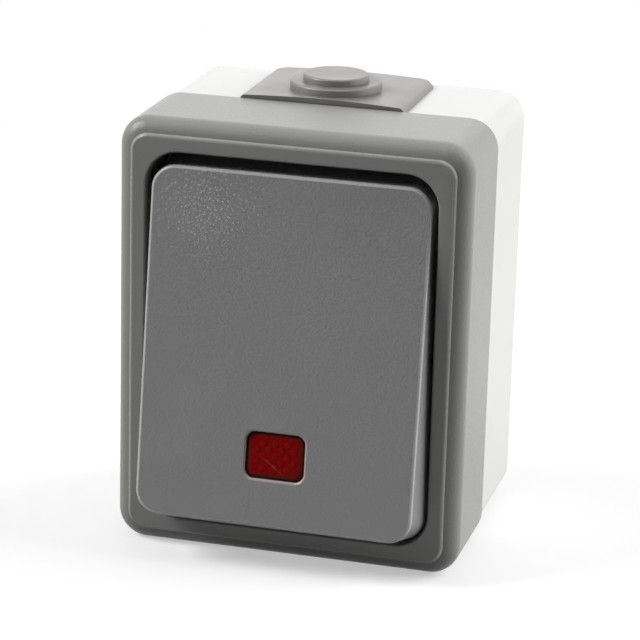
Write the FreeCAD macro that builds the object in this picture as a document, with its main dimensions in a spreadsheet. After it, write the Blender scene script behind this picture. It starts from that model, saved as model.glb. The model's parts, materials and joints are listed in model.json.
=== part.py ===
import FreeCAD, Part
import math
import os
import types

import Sketcher

# Surface-mounted weatherproof rocker switch with a pilot lamp.
# Frame: X to the right, Y into the wall, Z up, origin in the middle of the wall face.
# A "depth" is a distance from the wall towards the user, along -Y.
# The rocker is shown with its top pressed in.

SIZE_TABLE = [
    # Back box
    ("box_half_width", 32.4, "back box, half width"),
    ("box_half_height", 40.3, "back box, half height"),
    ("box_corner", 5.0, "back box, corner radius"),
    ("box_depth", 26.4, "wall to the shoulder of the box"),
    ("box_wall", 2.8, "side walls of the box"),
    ("box_edge", 0.4, "bevel of the edge at the wall"),
    ("back_wall", 2.4, "back wall of the box"),
    ("neck_play", 0.25, "neck of the box to the skirt of the cover"),
    ("neck_height", 7.6, "neck in front of the shoulder"),
    ("wall_hole_radius", 2.25, "wall fixing holes"),
    ("wall_hole_height", 21.0, "wall fixing holes above and below the middle"),
    ("wall_collar_radius", 4.6, "collar round a wall fixing hole"),
    ("wall_collar_height", 1.5, "collar in front of the back wall"),
    ("post_side_room", 2.7, "cover screws to the side walls of the rocker"),
    ("post_end_room", 1.5, "cover screws to the end walls of the rocker"),
    ("post_radius", 3.4, "screw posts"),
    ("post_gap", 0.2, "cover posts to the floor of the cover"),
    ("rib_thick", 1.6, "ribs from the posts to the side walls"),
    ("rib_height", 20.0, "ribs in front of the back wall"),
    # Cable entry
    ("entry_across", -0.7, "axis of the cable entry, sideways"),
    ("entry_depth", 16.0, "axis of the cable entry from the wall"),
    ("entry_half_width", 12.0, "hole for the entry seal, half width"),
    ("entry_half_depth", 8.0, "hole for the entry seal, half depth"),
    ("entry_corner", 2.5, "corners of that hole"),
    ("entry_play", 0.05, "seal in its hole"),
    ("pad_half_width", 15.9, "outer pad of the seal, half width"),
    ("pad_start", 1.0, "wall to the pad"),
    ("pad_edge", 1.1, "pad above the box at its sides"),
    ("pad_crown", 0.5, "arch of the pad"),
    ("pad_corner", 3.0, "rear corners of the pad"),
    ("pad_bevel", 0.8, "bevel along the pad's sides"),
    ("boss_radius", 8.65, "lower step of the membrane boss"),
    ("boss_height", 1.4, "lower step above the crown"),
    ("tip_radius", 6.2, "upper step of the membrane boss"),
    ("tip_height", 1.3, "upper step above the lower one"),
    ("boss_edge", 0.3, "bevel of the steps"),
    ("membrane", 0.8, "membrane that a cable pierces"),
    ("entry_bore", 4.9, "blind bore behind the membrane"),
    ("inner_flange", 1.5, "flange of the seal inside the box, thickness"),
    ("inner_flange_lap", 1.4, "flange of the seal past its hole"),
    # Gasket
    ("gasket_thick", 1.5, "gasket on the shoulder"),
    ("gasket_play", 0.05, "gasket to its walls"),
    # Front cover
    ("rim_gap", 0.3, "shoulder of the box to the rim of the cover"),
    ("rim_lap", 0.6, "cover past the box, all round"),
    ("cover_depth", 21.3, "rim to the shoulder of the cover"),
    ("shoulder_round", 3.2, "rounded shoulder of the cover"),
    ("frame_inset", 2.72, "raised frame inside the outline of the cover"),
    ("frame_band", 3.03, "raised frame, width"),
    ("frame_corner", 3.3, "raised frame, corner radius"),
    ("frame_step", 0.8, "raised frame in front of the shoulder"),
    ("frame_root", 0.5, "root of the raised frame in the shoulder"),
    ("frame_edge", 0.6, "bevel of the raised frame"),
    ("skirt_wall", 1.85, "skirt of the cover"),
    ("lip_wall", 0.75, "lip of the skirt outside the gasket"),
    ("front_wall", 2.2, "front wall of the cover"),
    ("well_corner", 6.2, "rocker well, corner radius"),
    ("well_edge", 0.4, "bevel at the mouth of the well"),
    ("well_wall", 1.8, "walls of the well"),
    ("well_depth", 11.8, "frame to the floor of the well"),
    ("floor_thick", 2.0, "floor of the well"),
    ("window_play", 0.6, "fork to the window in the floor"),
    ("dam_height", 1.5, "dam round the window"),
    ("dam_wall", 1.2, "wall of the dam"),
    ("lamp_hole_play", 0.6, "lamp holder to its hole in the floor"),
    # Rocker
    ("rest_tilt", 7.81, "tilt of the rocker with its top pressed in"),
    ("hinge_setback", 2.6, "hinge of the rocker behind the frame"),
    ("rocker_side_gap", 1.14, "rocker to the sides of the well"),
    ("rocker_end_gap", 2.72, "rocker to the ends of the well"),
    ("floor_play", 0.9, "pressed end of the rocker to the floor of the well"),
    ("rocker_corner", 4.5, "rocker, corner radius"),
    ("rocker_edge", 0.6, "rounding round the face"),
    ("rocker_rise", 6.52, "face in front of the hinge"),
    ("rocker_drop", 0.3, "middle of the face below the hinge"),
    ("rocker_plate", 2.0, "front plate of the rocker"),
    ("rocker_wall", 1.6, "side walls of the rocker"),
    ("stiffener_thick", 1.4, "ribs behind the plate"),
    ("stiffener_depth", 7.0, "ribs, from the face to their rear edge"),
    ("pin_radius", 1.1, "hinge pins of the rocker"),
    ("pin_play", 0.06, "hinge pins in their holes"),
    ("pin_reach", 1.2, "hinge pins into the wall of the well"),
    ("pin_end_play", 0.3, "end of a pin to the bottom of its hole"),
    ("pin_boss_cover", 0.5, "frame in front of the boss round a pin hole"),
    ("pin_boss_wall", 0.9, "boss behind the pin hole"),
    ("fork_past", 0.8, "fork past the middle of the lever head"),
    ("fork_side_play", 0.4, "lever head to the sides of the slot"),
    ("fork_wall", 2.8, "fork beside its slot"),
    ("fork_prong", 1.75, "fork above and below its slot"),
    ("slot_depth", 7.0, "slot of the fork"),
    ("fork_play", 0.15, "lever head in the slot, each side"),
    # Pilot window
    ("lens_half_width", 5.6, "window in the rocker, half width"),
    ("lens_half_height", 4.4, "window in the rocker, half height"),
    ("lens_corner", 1.8, "window in the rocker, corner radius"),
    ("lens_drop", 19.1, "window below the middle of the face"),
    ("lens_play", 0.08, "lens in its window"),
    ("lens_recess", 0.6, "lens behind the face"),
    ("lens_edge", 0.4, "bevel round the lens"),
    ("lens_lap", 1.0, "flange of the lens past the window"),
    ("lens_flange", 1.2, "flange of the lens, thickness"),
    ("collar_wall", 1.1, "collar round the lens"),
    ("collar_height", 3.0, "collar behind the plate"),
    ("window_chamfer", 0.4, "chamfer round the window"),
    # Switch insert
    ("base_wall", 1.6, "insulating base outside the terminal pockets"),
    ("base_end", 3.7, "insulating base above and below the chamber"),
    ("base_corner", 2.0, "insulating base, corner radius"),
    ("base_floor", 3.5, "floor of the base"),
    ("chamber_half_width", 6.2, "contact chamber, half width"),
    ("chamber_end", 2.0, "seesaw to the ends of the chamber"),
    ("pocket_side", 1.1, "terminal blocks to the sides of their pockets"),
    ("pocket_end", 0.5, "terminal blocks to the ends of their pockets"),
    ("holder_room", 1.0, "lamp holder to the relief in the base"),
    ("wire_entry", 2.0, "wire holes through the base, radius"),
    ("strap_thick", 1.2, "mounting strap"),
    ("strap_half_width", 10.5, "mounting strap, half width"),
    ("strap_margin", 4.2, "strap past its screws"),
    ("strap_window_gap", 1.2, "hub of the actuator to the window of the strap"),
    ("strap_window_play", 0.1, "window of the strap past the chamber"),
    ("seal_thick", 1.8, "window seal"),
    ("seal_play", 0.2, "window seal past the window of the cover"),
    ("seal_wall", 2.4, "window seal, width of the ring"),
    ("rivet_across", 6.6, "rivets, sideways from the middle"),
    ("rivet_radius", 1.2, "rivets"),
    ("rivet_head", 1.9, "heads of the rivets, radius"),
    ("rivet_head_height", 0.8, "heads of the rivets"),
    ("rivet_length", 8.0, "rivets behind the strap"),
    # Screws
    ("screw_play", 0.05, "screws in their holes"),
    ("bore_room", 3.0, "end of a screw to the bottom of its bore"),
    ("cover_screw_radius", 1.5, "cover screws, shank"),
    ("cover_screw_head", 2.8, "cover screws, head radius"),
    ("cover_screw_head_height", 1.8, "cover screws, head"),
    ("cover_screw_length", 14.0, "cover screws, shank"),
    ("washer_thick", 0.8, "seals under the cover screws"),
    ("strap_screw_radius", 1.4, "strap screws, shank"),
    ("strap_screw_head", 2.6, "strap screws, head radius"),
    ("strap_screw_head_height", 1.4, "strap screws, head"),
    ("strap_screw_length", 10.0, "strap screws, shank"),
    ("slot_width", 0.8, "screwdriver slots"),
    ("slot_cut", 0.8, "screwdriver slots, depth"),
    # Actuator
    ("swing_setback", 1.8, "axis of the actuator behind the front of the base"),
    ("peg_reach", 6.4, "lever head in front of the axis"),
    ("peg_radius", 1.5, "lever head"),
    ("peg_half_width", 3.0, "lever head, half width"),
    ("lever_half_thick", 0.9, "lever, half thickness"),
    ("hub_radius", 3.2, "hub of the actuator"),
    ("hub_side_play", 0.3, "hub to the sides of the chamber"),
    ("axle_radius", 1.5, "axle stubs of the actuator"),
    ("axle_reach", 2.2, "axle stubs into the walls of the chamber"),
    ("axle_play", 0.06, "axle stubs in their seats"),
    ("tube_wall", 1.2, "wall of the plunger's guide tube"),
    ("tube_reach", 5.0, "guide tube behind the axis"),
    ("bore_radius", 2.1, "bore of the guide tube"),
    ("bore_front", 1.2, "bore in front of the axis"),
    ("plunger_play", 0.08, "plunger in its bore"),
    ("plunger_front", 2.2, "front end of the plunger behind the axis"),
    ("plunger_nose", 2.5, "thin end of the plunger"),
    ("plunger_reach", 10.0, "tip of the plunger behind the axis"),
    ("plunger_tip", 1.1, "round tip of the plunger"),
    ("spring_wire", 0.22, "spring wire, half thickness"),
    ("spring_side_play", 0.38, "spring to its bore"),
    ("spring_turns", 4.0, "turns of the spring"),
    ("spring_end_play", 0.05, "spring to its seats"),
    # Contacts
    ("flip_share", 0.922, "tilt of the seesaw as a share of the actuator's swing"),
    ("saddle_front", 1.75, "front of the seesaw before its pivot"),
    ("blade_height", 1.7, "pivot of the seesaw in front of the strips"),
    ("blade_radius", 0.9, "round edge of the pivot blade"),
    ("saddle_play", 0.06, "saddle on the pivot blade"),
    ("plunger_gap", 0.25, "plunger to the seesaw in mid travel"),
    ("seesaw_lean_angle", 13.5, "forward lean of the seesaw's arms"),
    ("seesaw_arm", 9.5, "arms of the seesaw"),
    ("seesaw_thick", 0.8, "seesaw, thickness"),
    ("seesaw_half_width", 2.2, "seesaw, half width"),
    ("contact_arm", 7.5, "contacts from the pivot"),
    ("contact_radius", 1.5, "contact tips"),
    ("contact_thick", 0.8, "moving contact tips"),
    ("contact_gap", 0.18, "closed contacts, left apart"),
    ("strip_thick", 1.0, "contact strips"),
    ("strip_half_width", 2.5, "contact strips, half width"),
    ("strip_play", 0.1, "contact strips in their slots"),
    ("block_across", 13.7, "terminal blocks, sideways"),
    ("block_half_width", 3.6, "terminal blocks, half width"),
    ("block_half_height", 3.4, "terminal blocks, half height"),
    ("block_depth", 8.0, "terminal blocks, front to back"),
    ("wire_hole", 1.6, "wire openings of the blocks, half width"),
    ("wire_hole_depth", 3.6, "middle of the wire openings in front of the strips"),
    ("clamp_radius", 1.4, "clamp screws, shank"),
    ("clamp_head", 2.4, "clamp screws, head radius"),
    ("clamp_head_height", 1.6, "clamp screws, head"),
    ("clamp_length", 2.6, "clamp screws, shank in the block"),
    ("clamp_gap", 0.4, "head of an open clamp screw to its block"),
    # Pilot lamp
    ("holder_radius", 3.6, "lamp holder"),
    ("holder_behind", 15.2, "lamp holder behind the front of the strap"),
    ("holder_ahead", 3.2, "lamp holder in front of the strap"),
    ("holder_flange", 4.6, "flange of the lamp holder, radius"),
    ("holder_flange_thick", 1.2, "flange of the lamp holder"),
    ("holder_play", 0.1, "lamp holder in the strap"),
    ("lamp_radius", 2.6, "base of the lamp"),
    ("lamp_bulb", 2.4, "glass bulb of the lamp"),
    ("lamp_cap", 7.0, "base of the lamp, length"),
    ("lamp_bevel", 1.0, "taper at the tip of the bulb"),
    ("lamp_play", 0.1, "lamp in its holder"),
    ("lamp_behind", 7.2, "lamp behind the front of the strap"),
    ("lamp_ahead", 8.8, "lamp in front of the strap"),
    ("lead_half_width", 0.9, "lamp leads, half width"),
    ("lead_half_thick", 0.4, "lamp leads, half thickness"),
    ("lead_bend", 4.5, "bend of the lamp leads"),
    ("lead_insert", 2.2, "lamp leads in their terminal blocks"),
    ("lead_gap", 0.05, "lamp leads to the holder"),
]

TOLERANCE = 1e-4


class Size:
    """A size with the sheet expression that gives it."""

    def __init__(self, value, text):
        self.value = value
        self.text = text

    def joined(self, other, sign, value, swapped=False):
        first, second = (other, self) if swapped else (self, other)
        return Size(value, f"({first.text} {sign} {second.text})")

    def __add__(self, other):
        other = as_size(other)
        return self.joined(other, "+", self.value + other.value)

    __radd__ = __add__

    def __sub__(self, other):
        other = as_size(other)
        return self.joined(other, "-", self.value - other.value)

    def __rsub__(self, other):
        other = as_size(other)
        return self.joined(other, "-", other.value - self.value, swapped=True)

    def __mul__(self, other):
        other = as_size(other)
        return self.joined(other, "*", self.value * other.value)

    __rmul__ = __mul__

    def __truediv__(self, other):
        other = as_size(other)
        return self.joined(other, "/", self.value / other.value)

    def __neg__(self):
        return self * -1


def as_size(number):
    """A plain number as a size."""
    return number if isinstance(number, Size) else Size(float(number), f"{float(number):g}")


def sine(angle):
    return Size(math.sin(math.radians(angle.value)), f"sin({angle.text})")


def cosine(angle):
    return Size(math.cos(math.radians(angle.value)), f"cos({angle.text})")


doc = FreeCAD.newDocument("weatherproof_switch")
sheet = doc.addObject("Spreadsheet::Sheet", "Sizes")
for row, (alias, value, note) in enumerate(SIZE_TABLE, start=1):
    sheet.set(f"A{row}", alias)
    sheet.set(f"B{row}", str(value))
    sheet.setAlias(f"B{row}", alias)
    sheet.set(f"C{row}", note)
doc.recompute()
s = types.SimpleNamespace(**{alias: Size(value, f"Sizes.{alias}") for alias, value, note in SIZE_TABLE})
ZERO = as_size(0)

# Outlines that fit into each other, from the box inwards
box_inner_width = s.box_half_width - s.box_wall
box_inner_height = s.box_half_height - s.box_wall
rim_half_width = s.box_half_width + s.rim_lap
rim_half_height = s.box_half_height + s.rim_lap
rim_corner = s.box_corner + s.rim_lap
skirt_half_width = rim_half_width - s.skirt_wall
skirt_half_height = rim_half_height - s.skirt_wall
skirt_corner = rim_corner - s.skirt_wall
neck_half_width = skirt_half_width - s.neck_play
neck_half_height = skirt_half_height - s.neck_play
neck_corner = skirt_corner - s.neck_play
frame_half_width = rim_half_width - s.frame_inset
frame_half_height = rim_half_height - s.frame_inset
well_half_width = frame_half_width - s.frame_band
well_half_height = frame_half_height - s.frame_band
rocker_half_width = well_half_width - s.rocker_side_gap
rocker_half_height = well_half_height - s.rocker_end_gap
rocker_inner_width = rocker_half_width - s.rocker_wall
rocker_inner_height = rocker_half_height - s.rocker_wall
post_across = rocker_inner_width - s.cover_screw_head - s.post_side_room
post_up = rocker_inner_height - s.cover_screw_head - s.post_end_room

# Depths that several pieces share, from the rim of the cover to the back of the insert
neck_front = s.box_depth + s.neck_height
rim_depth = s.box_depth + s.rim_gap
gasket_front = s.box_depth + s.gasket_thick
ring_depth = rim_depth + s.cover_depth
frame_depth = ring_depth + s.frame_step
floor_front = frame_depth - s.well_depth
floor_rear = floor_front - s.floor_thick
hinge_depth = frame_depth - s.hinge_setback
strap_front = floor_rear - s.seal_thick
base_front = strap_front - s.strap_thick
swing_depth = base_front - s.swing_setback
fork_arm = hinge_depth - swing_depth - s.peg_reach
swing_rest = s.rest_tilt * fork_arm / s.peg_reach
contact_throw = swing_rest * s.flip_share
seesaw_depth = swing_depth - s.plunger_reach - s.plunger_gap - s.saddle_front
strip_front = seesaw_depth - s.blade_height
chamber_floor = strip_front - s.strip_thick
base_rear = chamber_floor - s.base_floor
wire_depth = strip_front + s.wire_hole_depth

# Sizes of the insert
lamp_height = -(s.rocker_drop + s.lens_drop)
slot_half_width = s.peg_half_width + s.fork_side_play
slot_half_height = s.peg_radius + s.fork_play
fork_half_width = slot_half_width + s.fork_wall
fork_half_height = slot_half_height + s.fork_prong
fork_reach = fork_arm + s.fork_past
chamber_half_height = s.seesaw_arm + s.chamber_end
base_half_height = chamber_half_height + s.base_end
pocket_half_width = s.block_half_width + s.pocket_side
pocket_half_height = s.block_half_height + s.pocket_end
pocket_inner = s.block_across - pocket_half_width
base_half_width = s.block_across + pocket_half_width + s.base_wall
strip_end = s.block_across + s.block_half_width + s.strip_play
rivet_up = (base_half_height + chamber_half_height) / 2

STRAP_POSTS = [(post_across, post_up), (-post_across, -post_up)]
COVER_POSTS = [(-post_across, post_up), (post_across, -post_up)]
RIVETS = [(s.rivet_across, rivet_up), (-s.rivet_across, -rivet_up)]
TERMINALS = [(side * s.block_across, level * s.contact_arm) for side in (1, -1) for level in (1, -1)]

subparts = []


def bind(item, prop, size):
    """Bind one property to its expression."""
    item.setExpression(prop, as_size(size).text)


def new_body(label, depth=None, tilt=None):
    """A sub-part; a depth puts its own origin in front of the wall, a tilt turns it about X there."""
    body = doc.addObject("PartDesign::Body", label)
    body.Label = label
    body.AllowCompound = True
    if depth is not None:
        axis = FreeCAD.Vector(1, 0, 0)
        start = FreeCAD.Vector(0, -depth.value, 0)
        angle = as_size(0 if tilt is None else tilt)
        body.Placement = FreeCAD.Placement(start, FreeCAD.Rotation(axis, angle.value or 1))
        bind(body, "Placement.Base.y", -depth)
        bind(body, "Placement.Rotation.Angle", angle)
    subparts.append(body)
    return body


def new_sketch(body, offset=0, plane="XZ_Plane"):
    """A sketch on an origin plane of the body; on XZ the offset is a depth."""
    drawing = body.newObject("Sketcher::SketchObject", f"{body.Name}_sketch")
    support = next(item for item in body.Origin.OriginFeatures if item.Role == plane)
    drawing.AttachmentSupport = [(support, "")]
    drawing.MapMode = "FlatFace"
    bind(drawing, "AttachmentOffset.Base.z", offset)
    return drawing


def constrain(drawing, kind, *references):
    return drawing.addConstraint(Sketcher.Constraint(kind, *references))


def dimension(drawing, kind, references, size):
    """A driving dimension bound to the sheet."""
    size = as_size(size)
    index = constrain(drawing, kind, *references, size.value)
    drawing.setExpression(f"Constraints[{index}]", size.text)


def pin_point(drawing, curve, end, x, y):
    """Hold one point of a curve at x, y from the sketch's origin."""
    dimension(drawing, "DistanceX", (-1, 1, curve, end), x)
    dimension(drawing, "DistanceY", (-1, 1, curve, end), y)


def point(x, y):
    return FreeCAD.Vector(as_size(x).value, as_size(y).value, 0)


def polygon(drawing, corners):
    """A closed outline of straight edges."""
    first = drawing.GeometryCount
    count = len(corners)
    for k, corner in enumerate(corners):
        drawing.addGeometry(Part.LineSegment(point(*corner), point(*corners[(k + 1) % count])))
    for k, corner in enumerate(corners):
        constrain(drawing, "Coincident", first + k, 2, first + (k + 1) % count, 1)
        pin_point(drawing, first + k, 1, *corner)


def rectangle(drawing, half_x, half_y, x=ZERO, y=ZERO):
    """A sharp rectangle about x, y."""
    left, right, low, high = x - half_x, x + half_x, y - half_y, y + half_y
    polygon(drawing, [(left, low), (right, low), (right, high), (left, high)])


def rounded(drawing, half_x, half_y, radius, x=ZERO, y=ZERO):
    """A rectangle about x, y with rounded corners."""
    first = drawing.GeometryCount
    left, right, low, high = x - half_x, x + half_x, y - half_y, y + half_y
    edges = [
        ((left + radius, low), (right - radius, low)),
        ((right, low + radius), (right, high - radius)),
        ((right - radius, high), (left + radius, high)),
        ((left, high - radius), (left, low + radius)),
    ]
    centres = [
        (right - radius, low + radius),
        (right - radius, high - radius),
        (left + radius, high - radius),
        (left + radius, low + radius),
    ]
    for start, end in edges:
        drawing.addGeometry(Part.LineSegment(point(*start), point(*end)))
    for k, centre in enumerate(centres):
        corner = Part.Circle(point(*centre), FreeCAD.Vector(0, 0, 1), radius.value)
        start_angle = (k - 1) * math.pi / 2
        drawing.addGeometry(Part.ArcOfCircle(corner, start_angle, start_angle + math.pi / 2))
    for k in range(4):
        line, arc, following = first + k, first + 4 + k, first + (k + 1) % 4
        constrain(drawing, "Tangent", line, 2, arc, 1)
        constrain(drawing, "Tangent", arc, 2, following, 1)
        constrain(drawing, "Vertical" if k % 2 else "Horizontal", line)
    for k in range(1, 4):
        constrain(drawing, "Equal", first + 4, first + 4 + k)
    dimension(drawing, "Radius", (first + 4,), radius)
    dimension(drawing, "DistanceY", (-1, 1, first, 1), low)
    dimension(drawing, "DistanceX", (-1, 1, first + 1, 1), right)
    dimension(drawing, "DistanceY", (-1, 1, first + 2, 1), high)
    dimension(drawing, "DistanceX", (-1, 1, first + 3, 1), left)


def circle(drawing, radius, x=ZERO, y=ZERO):
    """A circle about x, y."""
    curve = drawing.GeometryCount
    drawing.addGeometry(Part.Circle(point(x, y), FreeCAD.Vector(0, 0, 1), as_size(radius).value))
    pin_point(drawing, curve, 3, x, y)
    dimension(drawing, "Radius", (curve,), radius)


def pad(body, drawing, length, backwards=False, both_ways=False):
    """Extrude along the sketch's normal, which is towards the user on XZ."""
    feature = body.newObject("PartDesign::Pad", f"{body.Name}_pad")
    feature.Profile = drawing
    bind(feature, "Length", length)
    feature.Reversed = backwards
    feature.SideType = "Symmetric" if both_ways else "One side"
    doc.recompute()
    return feature


def removes_material(body, feature, before):
    doc.recompute()
    if not body.Shape.Volume < before - TOLERANCE:
        raise RuntimeError(f"{feature.Name} cuts nothing")


def cut(body, drawing, length, forwards=False, both_ways=False):
    """Cut against the sketch's normal, which is towards the wall on XZ, or along it."""
    before = body.Shape.Volume
    feature = body.newObject("PartDesign::Pocket", f"{body.Name}_cut")
    feature.Profile = drawing
    bind(feature, "Length", length)
    feature.Reversed = forwards
    feature.SideType = "Symmetric" if both_ways else "One side"
    removes_material(body, feature, before)
    return feature


def dress(body, kind, prop, size, chosen):
    """Fillet or chamfer the edges that a test picks."""
    base = body.Tip
    names = [f"Edge{k}" for k, edge in enumerate(base.Shape.Edges, start=1) if chosen(edge)]
    if not names:
        raise RuntimeError(f"{body.Name}: no edge to dress")
    feature = body.newObject(f"PartDesign::{kind}", f"{body.Name}_{kind.lower()}")
    feature.Base = (base, names)
    bind(feature, prop, size)
    doc.recompute()
    return feature


def fillet(body, radius, chosen):
    return dress(body, "Fillet", "Radius", radius, chosen)


def chamfer(body, size, chosen):
    return dress(body, "Chamfer", "Size", size, chosen)


def close(first, second):
    return abs(first - as_size(second).value) < TOLERANCE


def at_depth(depth):
    """Test for edges that lie flat at a depth."""
    return lambda edge: close(-edge.BoundBox.YMin, depth) and close(-edge.BoundBox.YMax, depth)


def at_height(height):
    """Test for edges that lie flat at a height."""
    return lambda edge: close(edge.BoundBox.ZMin, height) and close(edge.BoundBox.ZMax, height)


def within(edge, half_x, half_z, z=ZERO):
    """Whether an edge lies inside an upright rectangle about the axis."""
    box = edge.BoundBox
    reach_x = max(abs(box.XMin), abs(box.XMax))
    reach_z = max(abs(box.ZMin - z.value), abs(box.ZMax - z.value))
    return reach_x <= half_x.value + TOLERANCE and reach_z <= half_z.value + TOLERANCE


def screws(label, places, seat, shank_radius, shank_length, head_radius, head_height):
    """Slotted cheese-head screws, driven from the front, with their heads on one seat depth."""
    body = new_body(label)
    shanks = new_sketch(body, seat)
    heads = new_sketch(body, seat)
    slots = new_sketch(body, seat + head_height)
    for x, z in places:
        circle(shanks, shank_radius, x, z)
        circle(heads, head_radius, x, z)
        rectangle(slots, head_radius * 2, s.slot_width / 2, x, z)
    pad(body, shanks, shank_length, backwards=True)
    pad(body, heads, head_height)
    cut(body, slots, s.slot_cut)
    return body


def make_back_box():
    body = new_body("back_box")
    outline = new_sketch(body)
    rounded(outline, s.box_half_width, s.box_half_height, s.box_corner)
    pad(body, outline, s.box_depth)
    chamfer(body, s.box_edge, at_depth(0))
    neck = new_sketch(body, s.box_depth)
    rounded(neck, neck_half_width, neck_half_height, neck_corner)
    pad(body, neck, s.neck_height)
    inside = new_sketch(body, neck_front)
    rounded(inside, box_inner_width, box_inner_height, s.box_corner - s.box_wall)
    cut(body, inside, neck_front - s.back_wall)

    collars = new_sketch(body, s.back_wall)
    wall_holes = new_sketch(body, s.back_wall + s.wall_collar_height)
    for side in (1, -1):
        circle(collars, s.wall_collar_radius, ZERO, side * s.wall_hole_height)
        circle(wall_holes, s.wall_hole_radius, ZERO, side * s.wall_hole_height)
    pad(body, collars, s.wall_collar_height)
    cut(body, wall_holes, s.back_wall + s.wall_collar_height)

    cover_post_front = floor_rear - s.post_gap
    strap_screw_end = strap_front - s.strap_screw_length
    cover_screw_end = floor_front + s.washer_thick - s.cover_screw_length
    for places, front, bore, screw_end in (
        (STRAP_POSTS, base_front, s.strap_screw_radius + s.screw_play, strap_screw_end),
        (COVER_POSTS, cover_post_front, s.cover_screw_radius + s.screw_play, cover_screw_end),
    ):
        posts = new_sketch(body, s.back_wall)
        bores = new_sketch(body, front)
        for x, z in places:
            circle(posts, s.post_radius, x, z)
            circle(bores, bore, x, z)
        pad(body, posts, front - s.back_wall)
        cut(body, bores, front - screw_end + s.bore_room)

    ribs = new_sketch(body, s.back_wall)
    rib_start = post_across + (s.strap_screw_radius + s.post_radius) / 2
    rib_end = box_inner_width + s.box_wall / 2
    for across in (1, -1):
        for up in (1, -1):
            rectangle(
                ribs,
                (rib_end - rib_start) / 2,
                s.rib_thick / 2,
                across * (rib_end + rib_start) / 2,
                up * post_up,
            )
    pad(body, ribs, s.rib_height)

    entry = new_sketch(body, s.box_half_height, "XY_Plane")
    rounded(entry, s.entry_half_width, s.entry_half_depth, s.entry_corner, s.entry_across, -s.entry_depth)
    cut(body, entry, s.box_wall)


def make_cable_entry_seal():
    """One moulding: arched pad, stepped boss with a membrane, waist in the wall, inner flange."""
    body = new_body("cable_entry_seal")
    edge_height = s.box_half_height + s.pad_edge
    crown_height = edge_height + s.pad_crown
    arch_radius = (s.pad_half_width * s.pad_half_width + s.pad_crown * s.pad_crown) / (s.pad_crown * 2)
    arch_centre = crown_height - arch_radius

    profile = new_sketch(body, s.pad_start)
    left = s.entry_across - s.pad_half_width
    right = s.entry_across + s.pad_half_width
    corners = [
        (left, edge_height),
        (left, s.box_half_height),
        (right, s.box_half_height),
        (right, edge_height),
    ]
    for k in range(3):
        profile.addGeometry(Part.LineSegment(point(*corners[k]), point(*corners[k + 1])))
    profile.addGeometry(Part.Arc(point(*corners[3]), point(s.entry_across, crown_height), point(*corners[0])))
    arch = 3
    for k in range(2):
        constrain(profile, "Coincident", k, 2, k + 1, 1)
    constrain(profile, "Coincident", 2, 2, arch, 1)
    constrain(profile, "Coincident", 0, 1, arch, 2)
    for k in range(3):
        pin_point(profile, k, 1, *corners[k])
    pin_point(profile, 2, 2, *corners[3])
    dimension(profile, "DistanceY", (-1, 1, arch, 3), arch_centre)
    pad(body, profile, s.box_depth - s.pad_start)

    def rear_corner(edge):
        box = edge.BoundBox
        return close(-box.YMin, s.pad_start) and close(-box.YMax, s.pad_start) and box.XLength < TOLERANCE

    def long_side(edge):
        box = edge.BoundBox
        on_side = close(box.XMin, left) or close(box.XMin, right)
        return on_side and close(box.ZMin, edge_height) and box.ZLength < TOLERANCE

    fillet(body, s.pad_corner, rear_corner)
    chamfer(body, s.pad_bevel, long_side)

    boss_top = crown_height + s.boss_height
    tip_top = boss_top + s.tip_height
    for base, top, radius in (
        (s.box_half_height, boss_top, s.boss_radius),
        (boss_top, tip_top, s.tip_radius),
    ):
        step = new_sketch(body, base, "XY_Plane")
        circle(step, radius, s.entry_across, -s.entry_depth)
        pad(body, step, top - base)
        chamfer(body, s.boss_edge, at_height(top))

    waist = new_sketch(body, s.box_half_height, "XY_Plane")
    waist_width = s.entry_half_width - s.entry_play
    waist_depth = s.entry_half_depth - s.entry_play
    rounded(waist, waist_width, waist_depth, s.entry_corner, s.entry_across, -s.entry_depth)
    pad(body, waist, s.box_wall, backwards=True)
    flange = new_sketch(body, box_inner_height, "XY_Plane")
    flange_width = s.entry_half_width + s.inner_flange_lap
    flange_depth = s.entry_half_depth + s.inner_flange_lap
    rounded(flange, flange_width, flange_depth, s.entry_corner, s.entry_across, -s.entry_depth)
    pad(body, flange, s.inner_flange, backwards=True)
    bore = new_sketch(body, box_inner_height - s.inner_flange, "XY_Plane")
    circle(bore, s.entry_bore, s.entry_across, -s.entry_depth)
    cut(body, bore, tip_top - s.membrane - box_inner_height + s.inner_flange, forwards=True)


def make_box_gasket():
    body = new_body("box_gasket")
    ring = new_sketch(body, s.box_depth)
    lip_width = rim_half_width - s.lip_wall - s.gasket_play
    lip_height = rim_half_height - s.lip_wall - s.gasket_play
    rounded(ring, lip_width, lip_height, rim_corner - s.lip_wall)
    inner_width = neck_half_width + s.gasket_play
    inner_height = neck_half_height + s.gasket_play
    rounded(ring, inner_width, inner_height, neck_corner + s.gasket_play)
    pad(body, ring, s.gasket_thick)


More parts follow.
